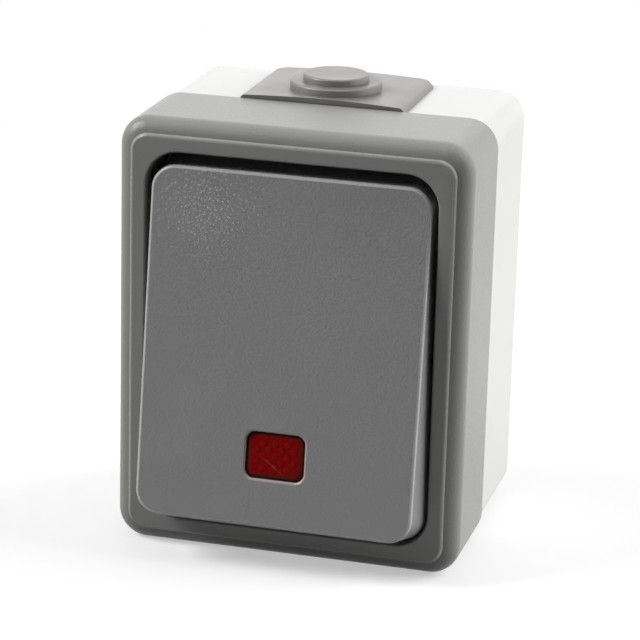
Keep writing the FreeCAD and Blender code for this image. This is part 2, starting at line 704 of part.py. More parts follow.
def make_front_cover():
    body = new_body("front_cover")
    outline = new_sketch(body, rim_depth)
    rounded(outline, rim_half_width, rim_half_height, rim_corner)
    pad(body, outline, s.cover_depth)
    fillet(body, s.shoulder_round, at_depth(ring_depth))
    frame = new_sketch(body, ring_depth - s.frame_root)
    rounded(frame, frame_half_width, frame_half_height, s.frame_corner)
    pad(body, frame, s.frame_step + s.frame_root)
    chamfer(body, s.frame_edge, at_depth(frame_depth))

    mouth = new_sketch(body, frame_depth)
    rounded(mouth, well_half_width, well_half_height, s.well_corner)
    cut(body, mouth, s.well_depth)

    def mouth_edge(edge):
        return at_depth(frame_depth)(edge) and within(edge, well_half_width, well_half_height)

    chamfer(body, s.well_edge, mouth_edge)

    behind_floor = new_sketch(body, rim_depth)
    rounded(behind_floor, skirt_half_width, skirt_half_height, skirt_corner)
    cut(body, behind_floor, floor_rear - rim_depth, forwards=True)
    channel = new_sketch(body, floor_rear)
    rounded(channel, skirt_half_width, skirt_half_height, skirt_corner)
    rounded(
        channel,
        well_half_width + s.well_wall,
        well_half_height + s.well_wall,
        s.well_corner + s.well_wall,
    )
    cut(body, channel, frame_depth - s.front_wall - floor_rear, forwards=True)
    rebate = new_sketch(body, rim_depth)
    rounded(rebate, rim_half_width - s.lip_wall, rim_half_height - s.lip_wall, rim_corner - s.lip_wall)
    cut(body, rebate, gasket_front - rim_depth, forwards=True)

    # Blind seats for the rocker's pins, in bosses outside the walls of the well
    seat_end = well_half_width + s.pin_reach + s.pin_end_play
    boss_end = seat_end + s.pin_boss_wall
    boss_start = well_half_width + s.well_wall / 2
    for side in (1, -1):
        boss = new_sketch(body, side * boss_start, "YZ_Plane")
        circle(boss, s.hinge_setback - s.pin_boss_cover, -hinge_depth, ZERO)
        pad(body, boss, boss_end - boss_start, backwards=side < 0)
        seat = new_sketch(body, side * well_half_width, "YZ_Plane")
        circle(seat, s.pin_radius + s.pin_play, -hinge_depth, ZERO)
        cut(body, seat, s.pin_reach + s.pin_end_play, forwards=side > 0)

    swing = fork_reach * sine(s.rest_tilt)
    window_width = fork_half_width + s.window_play
    window_height = fork_half_height + swing + s.window_play
    dam = new_sketch(body, floor_front)
    rectangle(dam, window_width + s.dam_wall, window_height + s.dam_wall)
    pad(body, dam, s.dam_height)
    window = new_sketch(body, floor_front + s.dam_height)
    rectangle(window, window_width, window_height)
    cut(body, window, s.dam_height + s.floor_thick)
    openings = new_sketch(body, floor_front)
    circle(openings, s.holder_radius + s.lamp_hole_play, ZERO, lamp_height)
    for x, z in COVER_POSTS:
        circle(openings, s.cover_screw_radius + s.screw_play, x, z)
    cut(body, openings, s.floor_thick)
    return window_width, window_height


def make_cover_fasteners():
    seat = floor_front + s.washer_thick
    screws(
        "cover_screws",
        COVER_POSTS,
        seat,
        s.cover_screw_radius,
        s.cover_screw_length,
        s.cover_screw_head,
        s.cover_screw_head_height,
    )
    body = new_body("cover_screw_seals")
    rings = new_sketch(body, floor_front)
    for x, z in COVER_POSTS:
        circle(rings, s.cover_screw_head, x, z)
        circle(rings, s.cover_screw_radius + s.screw_play, x, z)
    pad(body, rings, s.washer_thick)


def make_rocker():
    """Cap with hinge pins, fork and lens collar, about its own hinge axis."""
    body = new_body("rocker", hinge_depth, -s.rest_tilt)
    middle = -s.rocker_drop
    plate_rear = s.rocker_rise - s.rocker_plate
    end_dip = (rocker_half_height + s.rocker_drop) * sine(s.rest_tilt)
    skirt_rear = (s.floor_play + floor_front + end_dip - hinge_depth) / cosine(s.rest_tilt)
    outline = new_sketch(body, skirt_rear)
    rounded(outline, rocker_half_width, rocker_half_height, s.rocker_corner, ZERO, middle)
    pad(body, outline, s.rocker_rise - skirt_rear)
    fillet(body, s.rocker_edge, at_depth(s.rocker_rise))
    hollow = new_sketch(body, skirt_rear)
    rounded(hollow, rocker_inner_width, rocker_inner_height, s.rocker_corner - s.rocker_wall, ZERO, middle)
    cut(body, hollow, plate_rear - skirt_rear, forwards=True)

    # Ribs from the fork to the four walls
    stiffener = s.rocker_wall / 2
    ribs = new_sketch(body, plate_rear)
    rectangle(ribs, rocker_inner_width + stiffener, s.stiffener_thick / 2)
    pad(body, ribs, s.stiffener_depth - s.rocker_plate, backwards=True)
    fork = new_sketch(body, plate_rear)
    rectangle(fork, fork_half_width, fork_half_height)
    pad(body, fork, plate_rear + fork_reach, backwards=True)
    slot = new_sketch(body, -fork_reach)
    rectangle(slot, slot_half_width, slot_half_height)
    cut(body, slot, s.slot_depth, forwards=True)

    pin_end = well_half_width + s.pin_reach
    for side in (1, -1):
        pin_start = rocker_half_width - stiffener
        stub = new_sketch(body, side * pin_start, "YZ_Plane")
        circle(stub, s.pin_radius)
        pad(body, stub, pin_end - pin_start, backwards=side < 0)

    collar = new_sketch(body, plate_rear)
    collar_width = s.lens_half_width + s.lens_lap + s.lens_play
    collar_height = s.lens_half_height + s.lens_lap + s.lens_play
    collar_corner = s.lens_corner + s.lens_lap
    rounded(
        collar,
        collar_width + s.collar_wall,
        collar_height + s.collar_wall,
        collar_corner + s.collar_wall,
        ZERO,
        lamp_height,
    )
    rounded(collar, collar_width, collar_height, collar_corner, ZERO, lamp_height)
    pad(body, collar, s.collar_height, backwards=True)
    window = new_sketch(body, s.rocker_rise)
    rounded(window, s.lens_half_width, s.lens_half_height, s.lens_corner, ZERO, lamp_height)
    cut(body, window, s.rocker_plate)

    def window_edge(edge):
        on_face = at_depth(s.rocker_rise)(edge)
        return on_face and within(edge, s.lens_half_width, s.lens_half_height, lamp_height)

    chamfer(body, s.window_chamfer, window_edge)


def make_indicator_lens():
    body = new_body("indicator_lens", hinge_depth, -s.rest_tilt)
    plate_rear = s.rocker_rise - s.rocker_plate
    flange = new_sketch(body, plate_rear)
    flange_width = s.lens_half_width + s.lens_lap
    flange_height = s.lens_half_height + s.lens_lap
    rounded(flange, flange_width, flange_height, s.lens_corner + s.lens_lap, ZERO, lamp_height)
    pad(body, flange, s.lens_flange, backwards=True)
    face = new_sketch(body, plate_rear)
    face_width = s.lens_half_width - s.lens_play
    face_height = s.lens_half_height - s.lens_play
    rounded(face, face_width, face_height, s.lens_corner - s.lens_play, ZERO, lamp_height)
    pad(body, face, s.rocker_plate - s.lens_recess)
    chamfer(body, s.lens_edge, at_depth(s.rocker_rise - s.lens_recess))


def make_mounting_strap():
    body = new_body("mounting_strap")
    outline = new_sketch(body, base_front)
    ear_out = post_across + s.strap_margin
    ear_low = post_up - s.strap_margin
    ear_high = post_up + s.strap_margin
    corners = [
        (s.strap_half_width, -ear_high),
        (s.strap_half_width, ear_low),
        (ear_out, ear_low),
        (ear_out, ear_high),
    ]
    polygon(outline, corners + [(-x, -z) for x, z in corners])
    pad(body, outline, s.strap_thick)
    holes = new_sketch(body, strap_front)
    rectangle(holes, s.chamber_half_width + s.strap_window_play, s.hub_radius + s.strap_window_gap)
    circle(holes, s.holder_radius + s.holder_play, ZERO, lamp_height)
    for x, z in STRAP_POSTS:
        circle(holes, s.strap_screw_radius + s.screw_play, x, z)
    for x, z in RIVETS:
        circle(holes, s.rivet_radius + s.screw_play, x, z)
    cut(body, holes, s.strap_thick)


def make_strap_fasteners():
    screws(
        "strap_screws",
        STRAP_POSTS,
        strap_front,
        s.strap_screw_radius,
        s.strap_screw_length,
        s.strap_screw_head,
        s.strap_screw_head_height,
    )
    body = new_body("strap_rivets")
    heads = new_sketch(body, strap_front)
    shanks = new_sketch(body, strap_front)
    for x, z in RIVETS:
        circle(heads, s.rivet_head, x, z)
        circle(shanks, s.rivet_radius, x, z)
    pad(body, shanks, s.rivet_length, backwards=True)
    pad(body, heads, s.rivet_head_height)


def make_window_seal(window_width, window_height):
    body = new_body("window_seal")
    ring = new_sketch(body, strap_front)
    inner_width = window_width + s.seal_play
    inner_height = window_height + s.seal_play
    rectangle(ring, inner_width + s.seal_wall, inner_height + s.seal_wall)
    rectangle(ring, inner_width, inner_height)
    pad(body, ring, s.seal_thick)


def make_switch_base():
    body = new_body("switch_base")
    outline = new_sketch(body, base_rear)
    rounded(outline, base_half_width, base_half_height, s.base_corner)
    pad(body, outline, base_front - base_rear)
    hollows = new_sketch(body, base_front)
    rectangle(hollows, s.chamber_half_width, chamber_half_height)
    for x, z in TERMINALS:
        rectangle(hollows, pocket_half_width, pocket_half_height, x, z)
    cut(body, hollows, base_front - chamber_floor)
    relief = new_sketch(body, base_front)
    circle(relief, s.holder_radius + s.holder_room, ZERO, lamp_height)
    cut(body, relief, base_front - base_rear)

    # Open seats for the actuator's axle, closed by the strap
    seat_half = s.axle_radius + s.axle_play
    seat_reach = s.chamber_half_width + s.axle_reach + s.hub_side_play
    round_seat = new_sketch(body, ZERO, "YZ_Plane")
    circle(round_seat, seat_half, -swing_depth, ZERO)
    cut(body, round_seat, seat_reach * 2, both_ways=True)
    way_in = new_sketch(body, base_front)
    rectangle(way_in, seat_reach, seat_half)
    cut(body, way_in, s.swing_setback)

    # Slots that lead the strips from the chamber to the pockets
    slots = new_sketch(body, strip_front + s.strip_play)
    slot_half = s.strip_half_width + s.strip_play
    wall_half = (pocket_inner - s.chamber_half_width) / 2
    wall_middle = (pocket_inner + s.chamber_half_width) / 2
    for level in (1, -1):
        rectangle(slots, wall_half, slot_half, wall_middle, level * s.contact_arm)
    rectangle(slots, wall_half, slot_half, -wall_middle, ZERO)
    pocket_low = s.contact_arm - pocket_half_height
    turn_half = (pocket_low + slot_half) / 2
    turn_middle = (pocket_low - slot_half) / 2
    turn_width = s.strip_half_width + s.strip_play
    rectangle(slots, turn_width, turn_half, -(pocket_inner + turn_width), turn_middle)
    cut(body, slots, s.strip_thick + s.strip_play)

    entries = new_sketch(body, ZERO, "XY_Plane")
    for side in (1, -1):
        circle(entries, s.wire_entry, side * s.block_across, -wire_depth)
    cut(body, entries, base_half_height * 2, both_ways=True)
    rivet_holes = new_sketch(body, base_front)
    for x, z in RIVETS:
        circle(rivet_holes, s.rivet_radius + s.screw_play, x, z)
    cut(body, rivet_holes, s.rivet_length - s.strap_thick + s.screw_play)


def make_actuator():
    """Lever with axle stubs and the plunger's guide tube, about its own axis."""
    body = new_body("actuator", swing_depth, swing_rest)
    hub_half = s.chamber_half_width - s.hub_side_play
    hub = new_sketch(body, ZERO, "YZ_Plane")
    circle(hub, s.hub_radius)
    pad(body, hub, hub_half * 2, both_ways=True)
    axle = new_sketch(body, ZERO, "YZ_Plane")
    circle(axle, s.axle_radius)
    pad(body, axle, (s.chamber_half_width + s.axle_reach) * 2, both_ways=True)
    lever = new_sketch(body, ZERO)
    rectangle(lever, s.peg_half_width, s.lever_half_thick)
    pad(body, lever, s.peg_reach)
    peg = new_sketch(body, ZERO, "YZ_Plane")
    circle(peg, s.peg_radius, -s.peg_reach, ZERO)
    pad(body, peg, s.peg_half_width * 2, both_ways=True)
    tube = new_sketch(body, ZERO)
    circle(tube, s.bore_radius + s.tube_wall)
    pad(body, tube, s.tube_reach, backwards=True)
    bore = new_sketch(body, s.bore_front)
    circle(bore, s.bore_radius)
    cut(body, bore, s.bore_front + s.tube_reach)


def make_plunger():
    """Rod with a round nose, turned about its own axis."""
    body = new_body("plunger", swing_depth, swing_rest)
    radius = s.bore_radius - s.plunger_play
    shoulder = s.plunger_reach - s.plunger_nose
    centre = s.plunger_reach - s.plunger_tip
    corners = [
        (s.plunger_front, ZERO),
        (s.plunger_front, radius),
        (shoulder, radius),
        (shoulder, s.plunger_tip),
        (centre, s.plunger_tip),
    ]
    profile = new_sketch(body, ZERO, "YZ_Plane")
    for k in range(4):
        profile.addGeometry(Part.LineSegment(point(*corners[k]), point(*corners[k + 1])))
    nose = Part.Circle(point(centre, ZERO), FreeCAD.Vector(0, 0, 1), s.plunger_tip.value)
    profile.addGeometry(Part.ArcOfCircle(nose, 0, math.pi / 2))
    profile.addGeometry(Part.LineSegment(point(s.plunger_reach, ZERO), point(*corners[0])))
    arc, axis = 4, 5
    for k in range(3):
        constrain(profile, "Coincident", k, 2, k + 1, 1)
    constrain(profile, "Coincident", 3, 2, arc, 2)
    constrain(profile, "Coincident", arc, 1, axis, 1)
    constrain(profile, "Coincident", axis, 2, 0, 1)
    constrain(profile, "PointOnObject", axis, 1, -1)
    for k in range(4):
        pin_point(profile, k, 1, *corners[k])
    pin_point(profile, 3, 2, *corners[4])
    pin_point(profile, arc, 3, centre, ZERO)
    turned = body.newObject("PartDesign::Revolution", "plunger_turn")
    turned.Profile = profile
    turned.ReferenceAxis = (profile, ["H_Axis"])
    turned.Angle = 360
    doc.recompute()


def make_plunger_spring():
    body = new_body("plunger_spring", swing_depth, swing_rest)
    first = -s.plunger_front + s.spring_end_play + s.spring_wire
    last = s.bore_front - s.spring_end_play - s.spring_wire
    wire = new_sketch(body, ZERO, "YZ_Plane")
    coil_radius = s.bore_radius - s.spring_side_play - s.spring_wire
    rectangle(wire, s.spring_wire, s.spring_wire, -first, coil_radius)
    coil = body.newObject("PartDesign::AdditiveHelix", "plunger_spring_coil")
    coil.Profile = wire
    coil.ReferenceAxis = (wire, ["H_Axis"])
    coil.Mode = "height-turns-angle"
    bind(coil, "Height", last - first)
    bind(coil, "Turns", s.spring_turns)
    coil.Angle = 0
    coil.Reversed = True
    doc.recompute()


def make_contact_seesaw():
    """Bent strip with a saddle that rides on the pivot blade, about its own axis."""
    body = new_body("contact_seesaw", seesaw_depth, -contact_throw)
    along_depth = s.seesaw_arm * sine(s.seesaw_lean_angle)
    along_height = s.seesaw_arm * cosine(s.seesaw_lean_angle)
    off_depth = s.seesaw_thick * cosine(s.seesaw_lean_angle)
    off_height = s.seesaw_thick * sine(s.seesaw_lean_angle)
    inner = s.saddle_front - s.seesaw_thick / cosine(s.seesaw_lean_angle)
    end_depth = s.saddle_front + along_depth
    arms = new_sketch(body, ZERO, "YZ_Plane")
    polygon(
        arms,
        [
            (-s.saddle_front, ZERO),
            (-end_depth, along_height),
            (off_depth - end_depth, along_height + off_height),
            (-inner, ZERO),
            (off_depth - end_depth, -along_height - off_height),
            (-end_depth, -along_height),
        ],
    )
    pad(body, arms, s.seesaw_half_width * 2, both_ways=True)
    saddle = new_sketch(body, ZERO, "YZ_Plane")
    circle(saddle, s.saddle_front)
    pad(body, saddle, s.seesaw_half_width * 2, both_ways=True)
    rear = new_sketch(body, ZERO, "YZ_Plane")
    clearance = s.blade_radius * sine(contact_throw) + s.saddle_play
    rectangle(rear, s.saddle_front, s.saddle_front * 2, s.saddle_front - clearance, ZERO)
    cut(body, rear, s.seesaw_half_width * 2, both_ways=True)
    seat = new_sketch(body, ZERO, "YZ_Plane")
    circle(seat, s.blade_radius + s.saddle_play)
    cut(body, seat, s.seesaw_half_width * 2, both_ways=True)


def make_moving_contact_tips():
    """A round tip on the rear of each arm, set square to the arm."""
    tips = []
    middle_depth = s.saddle_front + s.contact_arm * sine(s.seesaw_lean_angle)
    seat_depth = middle_depth - s.seesaw_thick * cosine(s.seesaw_lean_angle)
    seat_height = s.contact_arm * cosine(s.seesaw_lean_angle) + s.seesaw_thick * sine(s.seesaw_lean_angle)
    for side, name in ((1, "upper_tip"), (-1, "lower_tip")):
        tip = doc.addObject("Part::Cylinder", name)
        bind(tip, "Radius", s.contact_radius)
        bind(tip, "Height", s.contact_thick)
        quarter = -90 + side * s.seesaw_lean_angle
        tip.Placement.Rotation = FreeCAD.Rotation(FreeCAD.Vector(1, 0, 0), quarter.value)
        bind(tip, "Placement.Rotation.Angle", quarter)
        bind(tip, "Placement.Base.y", -seat_depth)
        bind(tip, "Placement.Base.z", side * seat_height)
        tips.append(tip)
    group = doc.addObject("Part::Compound", "moving_contact_tips")
    group.Label = "moving_contact_tips"
    group.Links = tips
    group.Placement = FreeCAD.Placement(
        FreeCAD.Vector(0, -seesaw_depth.value, 0),
        FreeCAD.Rotation(FreeCAD.Vector(1, 0, 0), -contact_throw.value),
    )
    bind(group, "Placement.Base.y", -seesaw_depth)
    bind(group, "Placement.Rotation.Angle", -contact_throw)
    subparts.append(group)
    doc.recompute()
    tip_depth = seat_depth - s.contact_thick * cosine(s.seesaw_lean_angle)
    tip_height = seat_height + s.contact_thick * sine(s.seesaw_lean_angle)
    return tip_depth, tip_height


def make_contact_strips(tip_depth, tip_height):
    common = new_body("common_strip")
    outline = new_sketch(common, chamber_floor)
    inner = -(pocket_inner + s.strip_play)
    turn_outer = inner - s.strip_half_width * 2
    high = s.contact_arm + s.strip_half_width
    polygon(
        outline,
        [
            (s.strip_half_width, s.strip_half_width),
            (inner, s.strip_half_width),
            (inner, high),
            (-strip_end, high),
            (-strip_end, s.contact_arm - s.strip_half_width),
            (turn_outer, s.contact_arm - s.strip_half_width),
            (turn_outer, -s.strip_half_width),
            (s.strip_half_width, -s.strip_half_width),
        ],
    )
    pad(common, outline, s.strip_thick)
    blade = new_sketch(common, strip_front)
    rectangle(blade, s.strip_half_width, s.blade_radius)
    pad(common, blade, seesaw_depth - strip_front)
    edge = new_sketch(common, ZERO, "YZ_Plane")
    circle(edge, s.blade_radius, -seesaw_depth, ZERO)
    pad(common, edge, s.strip_half_width * 2, both_ways=True)

    for label, side, level, start in (
        ("upper_contact_strip", 1, 1, -s.strip_half_width),
        ("lower_contact_strip", 1, -1, -s.strip_half_width),
        ("neutral_strip", -1, -1, pocket_inner + s.strip_play),
    ):
        strip = new_body(label)
        bar = new_sketch(strip, chamber_floor)
        half = (strip_end - start) / 2
        rectangle(bar, half, s.strip_half_width, side * (strip_end + start) / 2, level * s.contact_arm)
        pad(strip, bar, s.strip_thick)

    # The closed pair of tips stays a little apart, past the slant of the moving tip
    closed_depth = tip_depth * cosine(contact_throw) - tip_height * sine(contact_throw)
    closed_height = tip_depth * sine(contact_throw) + tip_height * cosine(contact_throw)
    fixed = new_body("fixed_contact_tips")
    rivets = new_sketch(fixed, strip_front)
    for level in (1, -1):
        circle(rivets, s.contact_radius, ZERO, level * closed_height)
    pad(fixed, rivets, seesaw_depth + closed_depth - s.contact_gap - strip_front)


def make_terminals():
    body = new_body("terminal_blocks")
    blocks = new_sketch(body, strip_front)
    threads = new_sketch(body, strip_front + s.block_depth)
    for x, z in TERMINALS:
        rectangle(blocks, s.block_half_width, s.block_half_height, x, z)
        circle(threads, s.clamp_radius + s.screw_play, x, z)
    pad(body, blocks, s.block_depth)
    wires = new_sketch(body, ZERO, "XY_Plane")
    for side in (1, -1):
        rectangle(wires, s.wire_hole, s.wire_hole, side * s.block_across, -wire_depth)
    cut(body, wires, (s.contact_arm + s.block_half_height) * 4, both_ways=True)
    cut(body, threads, s.block_depth - s.wire_hole_depth)
    screws(
        "terminal_screws",
        TERMINALS,
        strip_front + s.block_depth + s.clamp_gap,
        s.clamp_radius,
        s.clamp_length,
        s.clamp_head,
        s.clamp_head_height,
    )


def make_pilot_lamp():
    holder = new_body("lamp_holder")
    holder_rear = strap_front - s.holder_behind
    holder_front = strap_front + s.holder_ahead
    lamp_rear = strap_front - s.lamp_behind
    lamp_front = strap_front + s.lamp_ahead
    tube = new_sketch(holder, holder_rear)
    circle(tube, s.holder_radius, ZERO, lamp_height)
    pad(holder, tube, holder_front - holder_rear)
    flange = new_sketch(holder, strap_front)
    circle(flange, s.holder_flange, ZERO, lamp_height)
    pad(holder, flange, s.holder_flange_thick)
    bore = new_sketch(holder, holder_front)
    circle(bore, s.lamp_radius + s.lamp_play, ZERO, lamp_height)
    cut(holder, bore, holder_front - lamp_rear)

    lamp = new_body("neon_lamp")
    cap_front = lamp_rear + s.lamp_cap
    for start, end, radius in ((lamp_rear, cap_front, s.lamp_radius), (cap_front, lamp_front, s.lamp_bulb)):
        stage = new_sketch(lamp, start)
        circle(stage, radius, ZERO, lamp_height)
        pad(lamp, stage, end - start)
    chamfer(lamp, s.lamp_bevel, at_depth(lamp_front))

    lead_start = s.holder_radius + s.lead_gap
    lead_end = -(s.contact_arm + s.block_half_height - s.lead_insert)
    for label, side in (("lamp_lead_switched", 1), ("lamp_lead_neutral", -1)):
        lead = new_body(label)
        path = new_sketch(lead, wire_depth)
        bend_x = s.block_across - s.lead_bend
        bend_z = lamp_height + s.lead_bend
        path.addGeometry(
            Part.LineSegment(point(side * lead_start, lamp_height), point(side * bend_x, lamp_height))
        )
        bend = Part.Circle(point(side * bend_x, bend_z), FreeCAD.Vector(0, 0, 1), s.lead_bend.value)
        quarter = math.pi / 2
        arc_start = -quarter if side > 0 else -2 * quarter
        path.addGeometry(Part.ArcOfCircle(bend, arc_start, arc_start + quarter))
        path.addGeometry(
            Part.LineSegment(point(side * s.block_across, bend_z), point(side * s.block_across, lead_end))
        )
        low_end, high_end = (1, 2) if side > 0 else (2, 1)
        constrain(path, "Tangent", 0, 2, 1, low_end)
        constrain(path, "Tangent", 1, high_end, 2, 1)
        constrain(path, "Horizontal", 0)
        constrain(path, "Vertical", 2)
        pin_point(path, 0, 1, side * lead_start, lamp_height)
        pin_point(path, 2, 2, side * s.block_across, lead_end)
        dimension(path, "Radius", (1,), s.lead_bend)
        section = new_sketch(lead, side * lead_start, "YZ_Plane")
        rectangle(section, s.lead_half_width, s.lead_half_thick, -wire_depth, lamp_height)
        pipe = lead.newObject("PartDesign::AdditivePipe", f"{label}_pipe")
        pipe.Profile = section
        pipe.Spine = (path, [])
        doc.recompute()


make_back_box()
make_cable_entry_seal()
make_box_gasket()
window_half_width, window_half_height = make_front_cover()
make_cover_fasteners()
make_rocker()
make_indicator_lens()
make_mounting_strap()
make_strap_fasteners()
make_window_seal(window_half_width, window_half_height)
make_switch_base()
make_actuator()
make_plunger()
make_plunger_spring()
make_contact_seesaw()
closed_tip_depth, closed_tip_height = make_moving_contact_tips()
make_contact_strips(closed_tip_depth, closed_tip_height)
make_terminals()
make_pilot_lamp()
doc.recompute()

for item in doc.Objects:
    if "Invalid" in item.State or "Error" in item.State:
        raise RuntimeError(f"{item.Label} failed: {item.State}")
for item in subparts:
    if item.Shape.isNull() or not item.Shape.isValid():
        raise RuntimeError(f"{item.Label} has no valid shape")

os.makedirs("parts", exist_ok=True)
for item in subparts:
    item.Shape.exportStep(f"parts/{item.Label}.step")
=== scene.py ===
"""Finishes and stage for an outdoor weatherproof rocker switch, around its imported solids."""

import json
import math

import bmesh
import bpy
from bpy.props import FloatProperty, FloatVectorProperty, PointerProperty
from mathutils import Matrix, Vector


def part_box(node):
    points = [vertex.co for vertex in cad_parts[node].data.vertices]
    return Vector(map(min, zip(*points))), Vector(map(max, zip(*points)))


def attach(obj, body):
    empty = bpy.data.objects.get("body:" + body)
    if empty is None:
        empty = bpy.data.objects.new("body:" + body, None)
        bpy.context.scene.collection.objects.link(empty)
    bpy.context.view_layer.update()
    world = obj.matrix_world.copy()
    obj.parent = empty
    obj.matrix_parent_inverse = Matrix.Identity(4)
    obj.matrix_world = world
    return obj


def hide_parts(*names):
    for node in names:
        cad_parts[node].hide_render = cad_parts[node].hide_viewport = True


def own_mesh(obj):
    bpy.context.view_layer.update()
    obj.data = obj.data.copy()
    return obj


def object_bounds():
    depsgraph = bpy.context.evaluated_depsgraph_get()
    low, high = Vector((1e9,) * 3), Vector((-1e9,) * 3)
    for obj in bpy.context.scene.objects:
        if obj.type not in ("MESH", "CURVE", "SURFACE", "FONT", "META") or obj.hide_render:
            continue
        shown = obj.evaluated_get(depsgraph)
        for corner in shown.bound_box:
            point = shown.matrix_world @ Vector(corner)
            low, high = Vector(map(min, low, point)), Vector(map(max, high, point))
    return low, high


bl_info = {
    "name": "Weatherproof Switch Dresser",
    "version": (1, 0, 0),
    "blender": (4, 5, 0),
    "location": "View3D > Sidebar > Switch",
    "description": "Gives a weatherproof rocker switch its finishes, lens and stage",
    "category": "Object",
}

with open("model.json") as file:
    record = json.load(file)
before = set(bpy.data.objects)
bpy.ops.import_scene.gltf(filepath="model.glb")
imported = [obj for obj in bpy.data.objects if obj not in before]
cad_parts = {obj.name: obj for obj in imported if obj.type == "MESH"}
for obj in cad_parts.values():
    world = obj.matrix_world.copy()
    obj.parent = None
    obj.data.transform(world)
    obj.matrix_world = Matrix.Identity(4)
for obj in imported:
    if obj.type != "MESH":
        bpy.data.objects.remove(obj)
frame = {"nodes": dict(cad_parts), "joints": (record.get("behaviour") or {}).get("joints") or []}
SOLID_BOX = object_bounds()
MM = 0.001

# Colours inside the box
# Near black of the hinge pins: painted shade, where they sit in the gap beside the rocker
PIN_SHADE_BLACK = (0.004, 0.004, 0.004)
RUBBER_BLACK = (0.03, 0.03, 0.03)
ZINC_GREY = (0.62, 0.63, 0.64)
BRASS_YELLOW = (0.72, 0.52, 0.24)
SILVER_WHITE = (0.78, 0.77, 0.74)
UREA_CREAM = (0.72, 0.71, 0.66)
LEVER_BLACK = (0.12, 0.12, 0.125)
GLASS_TINT = (0.95, 0.85, 0.78)

# Each lamp with the value that holds its power, its place, its width and whether gloss shows it
LAMPS = (
    ("lamp_top", "top_lamp", (0.0, -0.05, 1.10), 0.9, True),
    ("lamp_right", "right_lamp", (1.00, 0.45, 0.50), 1.2, False),
    ("lamp_left", "left_lamp", (-0.90, -0.40, 0.78), 0.5, True),
    ("lamp_back", "back_lamp", (-0.27, 1.00, 0.40), 0.9, True),
    ("lamp_spark", "spark_lamp", (-0.0616, -0.202, 0.0228), 0.005, True),
)
LAMP_AIM = Vector((0.0, -0.03, 0.0))

# Pull of large faces on the shading of the edges beside them
EVEN_SHADING = 60


# Values a user would change


class SwitchFinish(bpy.types.PropertyGroup):
    """Colours and grain of the switch's visible pieces."""

    box_white: FloatVectorProperty(
        name="Box white",
        description="Colour of the back box",
        subtype="COLOR",
        size=4,
        default=(0.67, 0.67, 0.654, 1.0),
        min=0.0,
        max=1.0,
    )
    cover_grey: FloatVectorProperty(
        name="Cover grey",
        description="Colour of the front cover",
        subtype="COLOR",
        size=4,
        default=(0.277, 0.276, 0.269, 1.0),
        min=0.0,
        max=1.0,
    )
    rocker_grey: FloatVectorProperty(
        name="Rocker grey",
        description="Colour of the rocker",
        subtype="COLOR",
        size=4,
        default=(0.296, 0.296, 0.296, 1.0),
        min=0.0,
        max=1.0,
    )
    lens_red: FloatVectorProperty(
        name="Lens red",
        description="Colour of the pilot lens",
        subtype="COLOR",
        size=4,
        default=(0.35, 0.0005, 0.002, 1.0),
        min=0.0,
        max=1.0,
    )
    # Painted shade: the lens is darker along its border, where the window's wall shades it
    lens_shade_border: FloatVectorProperty(
        name="Lens border",
        description="Colour of the pilot lens along its border",
        subtype="COLOR",
        size=4,
        default=(0.14, 0.02, 0.018, 1.0),
        min=0.0,
        max=1.0,
    )
    # Painted highlight: the rim round the lens's window is coloured lighter all round
    rim_highlight: FloatVectorProperty(
        name="Rim grey",
        description="Colour of the painted_highlight rim of the lens's window",
        subtype="COLOR",
        size=4,
        default=(0.52, 0.44, 0.43, 1.0),
        min=0.0,
        max=1.0,
    )
    seal_grey: FloatVectorProperty(
        name="Seal grey",
        description="Colour of the soft cable entry",
        subtype="COLOR",
        size=4,
        default=(0.15, 0.143, 0.13, 1.0),
        min=0.0,
        max=1.0,
    )
    grain: FloatProperty(
        name="Grain",
        description="Size of the spark-eroded grain on the grey pieces",
        unit="LENGTH",
        default=0.45 * MM,
        min=0.05 * MM,
        max=3.0 * MM,
    )
    grain_depth: FloatProperty(
        name="Grain depth",
        description="Height of that grain",
        unit="LENGTH",
        default=0.105 * MM,
        min=0.0,
        max=0.5 * MM,
    )


class SwitchForms(bpy.types.PropertyGroup):
    """Sizes of what is modelled on top of the solids."""

    smooth_angle: FloatProperty(
        name="Smooth angle",
        description="Edges flatter than this are shaded round",
        subtype="ANGLE",
        default=math.radians(50.0),
    )
    side_draft: FloatProperty(
        name="Side draft",
        description="Lean of the rocker's side walls, outward below its face",
        subtype="ANGLE",
        default=math.radians(4.0),
    )
    end_draft: FloatProperty(
        name="End draft",
        description="Lean of the rocker's end walls, outward below its face",
        subtype="ANGLE",
        default=math.radians(7.8),
    )
    prism_pitch: FloatProperty(
        name="Prism pitch",
        description="Distance between prisms in a row of the lens",
        unit="LENGTH",
        default=2.3 * MM,
    )
    prism_radius: FloatProperty(
        name="Prism radius",
        description="Radius of one prism of the lens",
        unit="LENGTH",
        default=0.74 * MM,
    )
    prism_rise: FloatProperty(
        name="Prism rise",
        description="Height of one prism of the lens",
        unit="LENGTH",
        default=0.07 * MM,
    )
    # Width of the painted shade band along the lens's border
    lens_shade_border: FloatProperty(
        name="Lens border",
        description="Width of the dark border of the lens, inside its bevel",
        unit="LENGTH",
        default=0.95 * MM,
    )


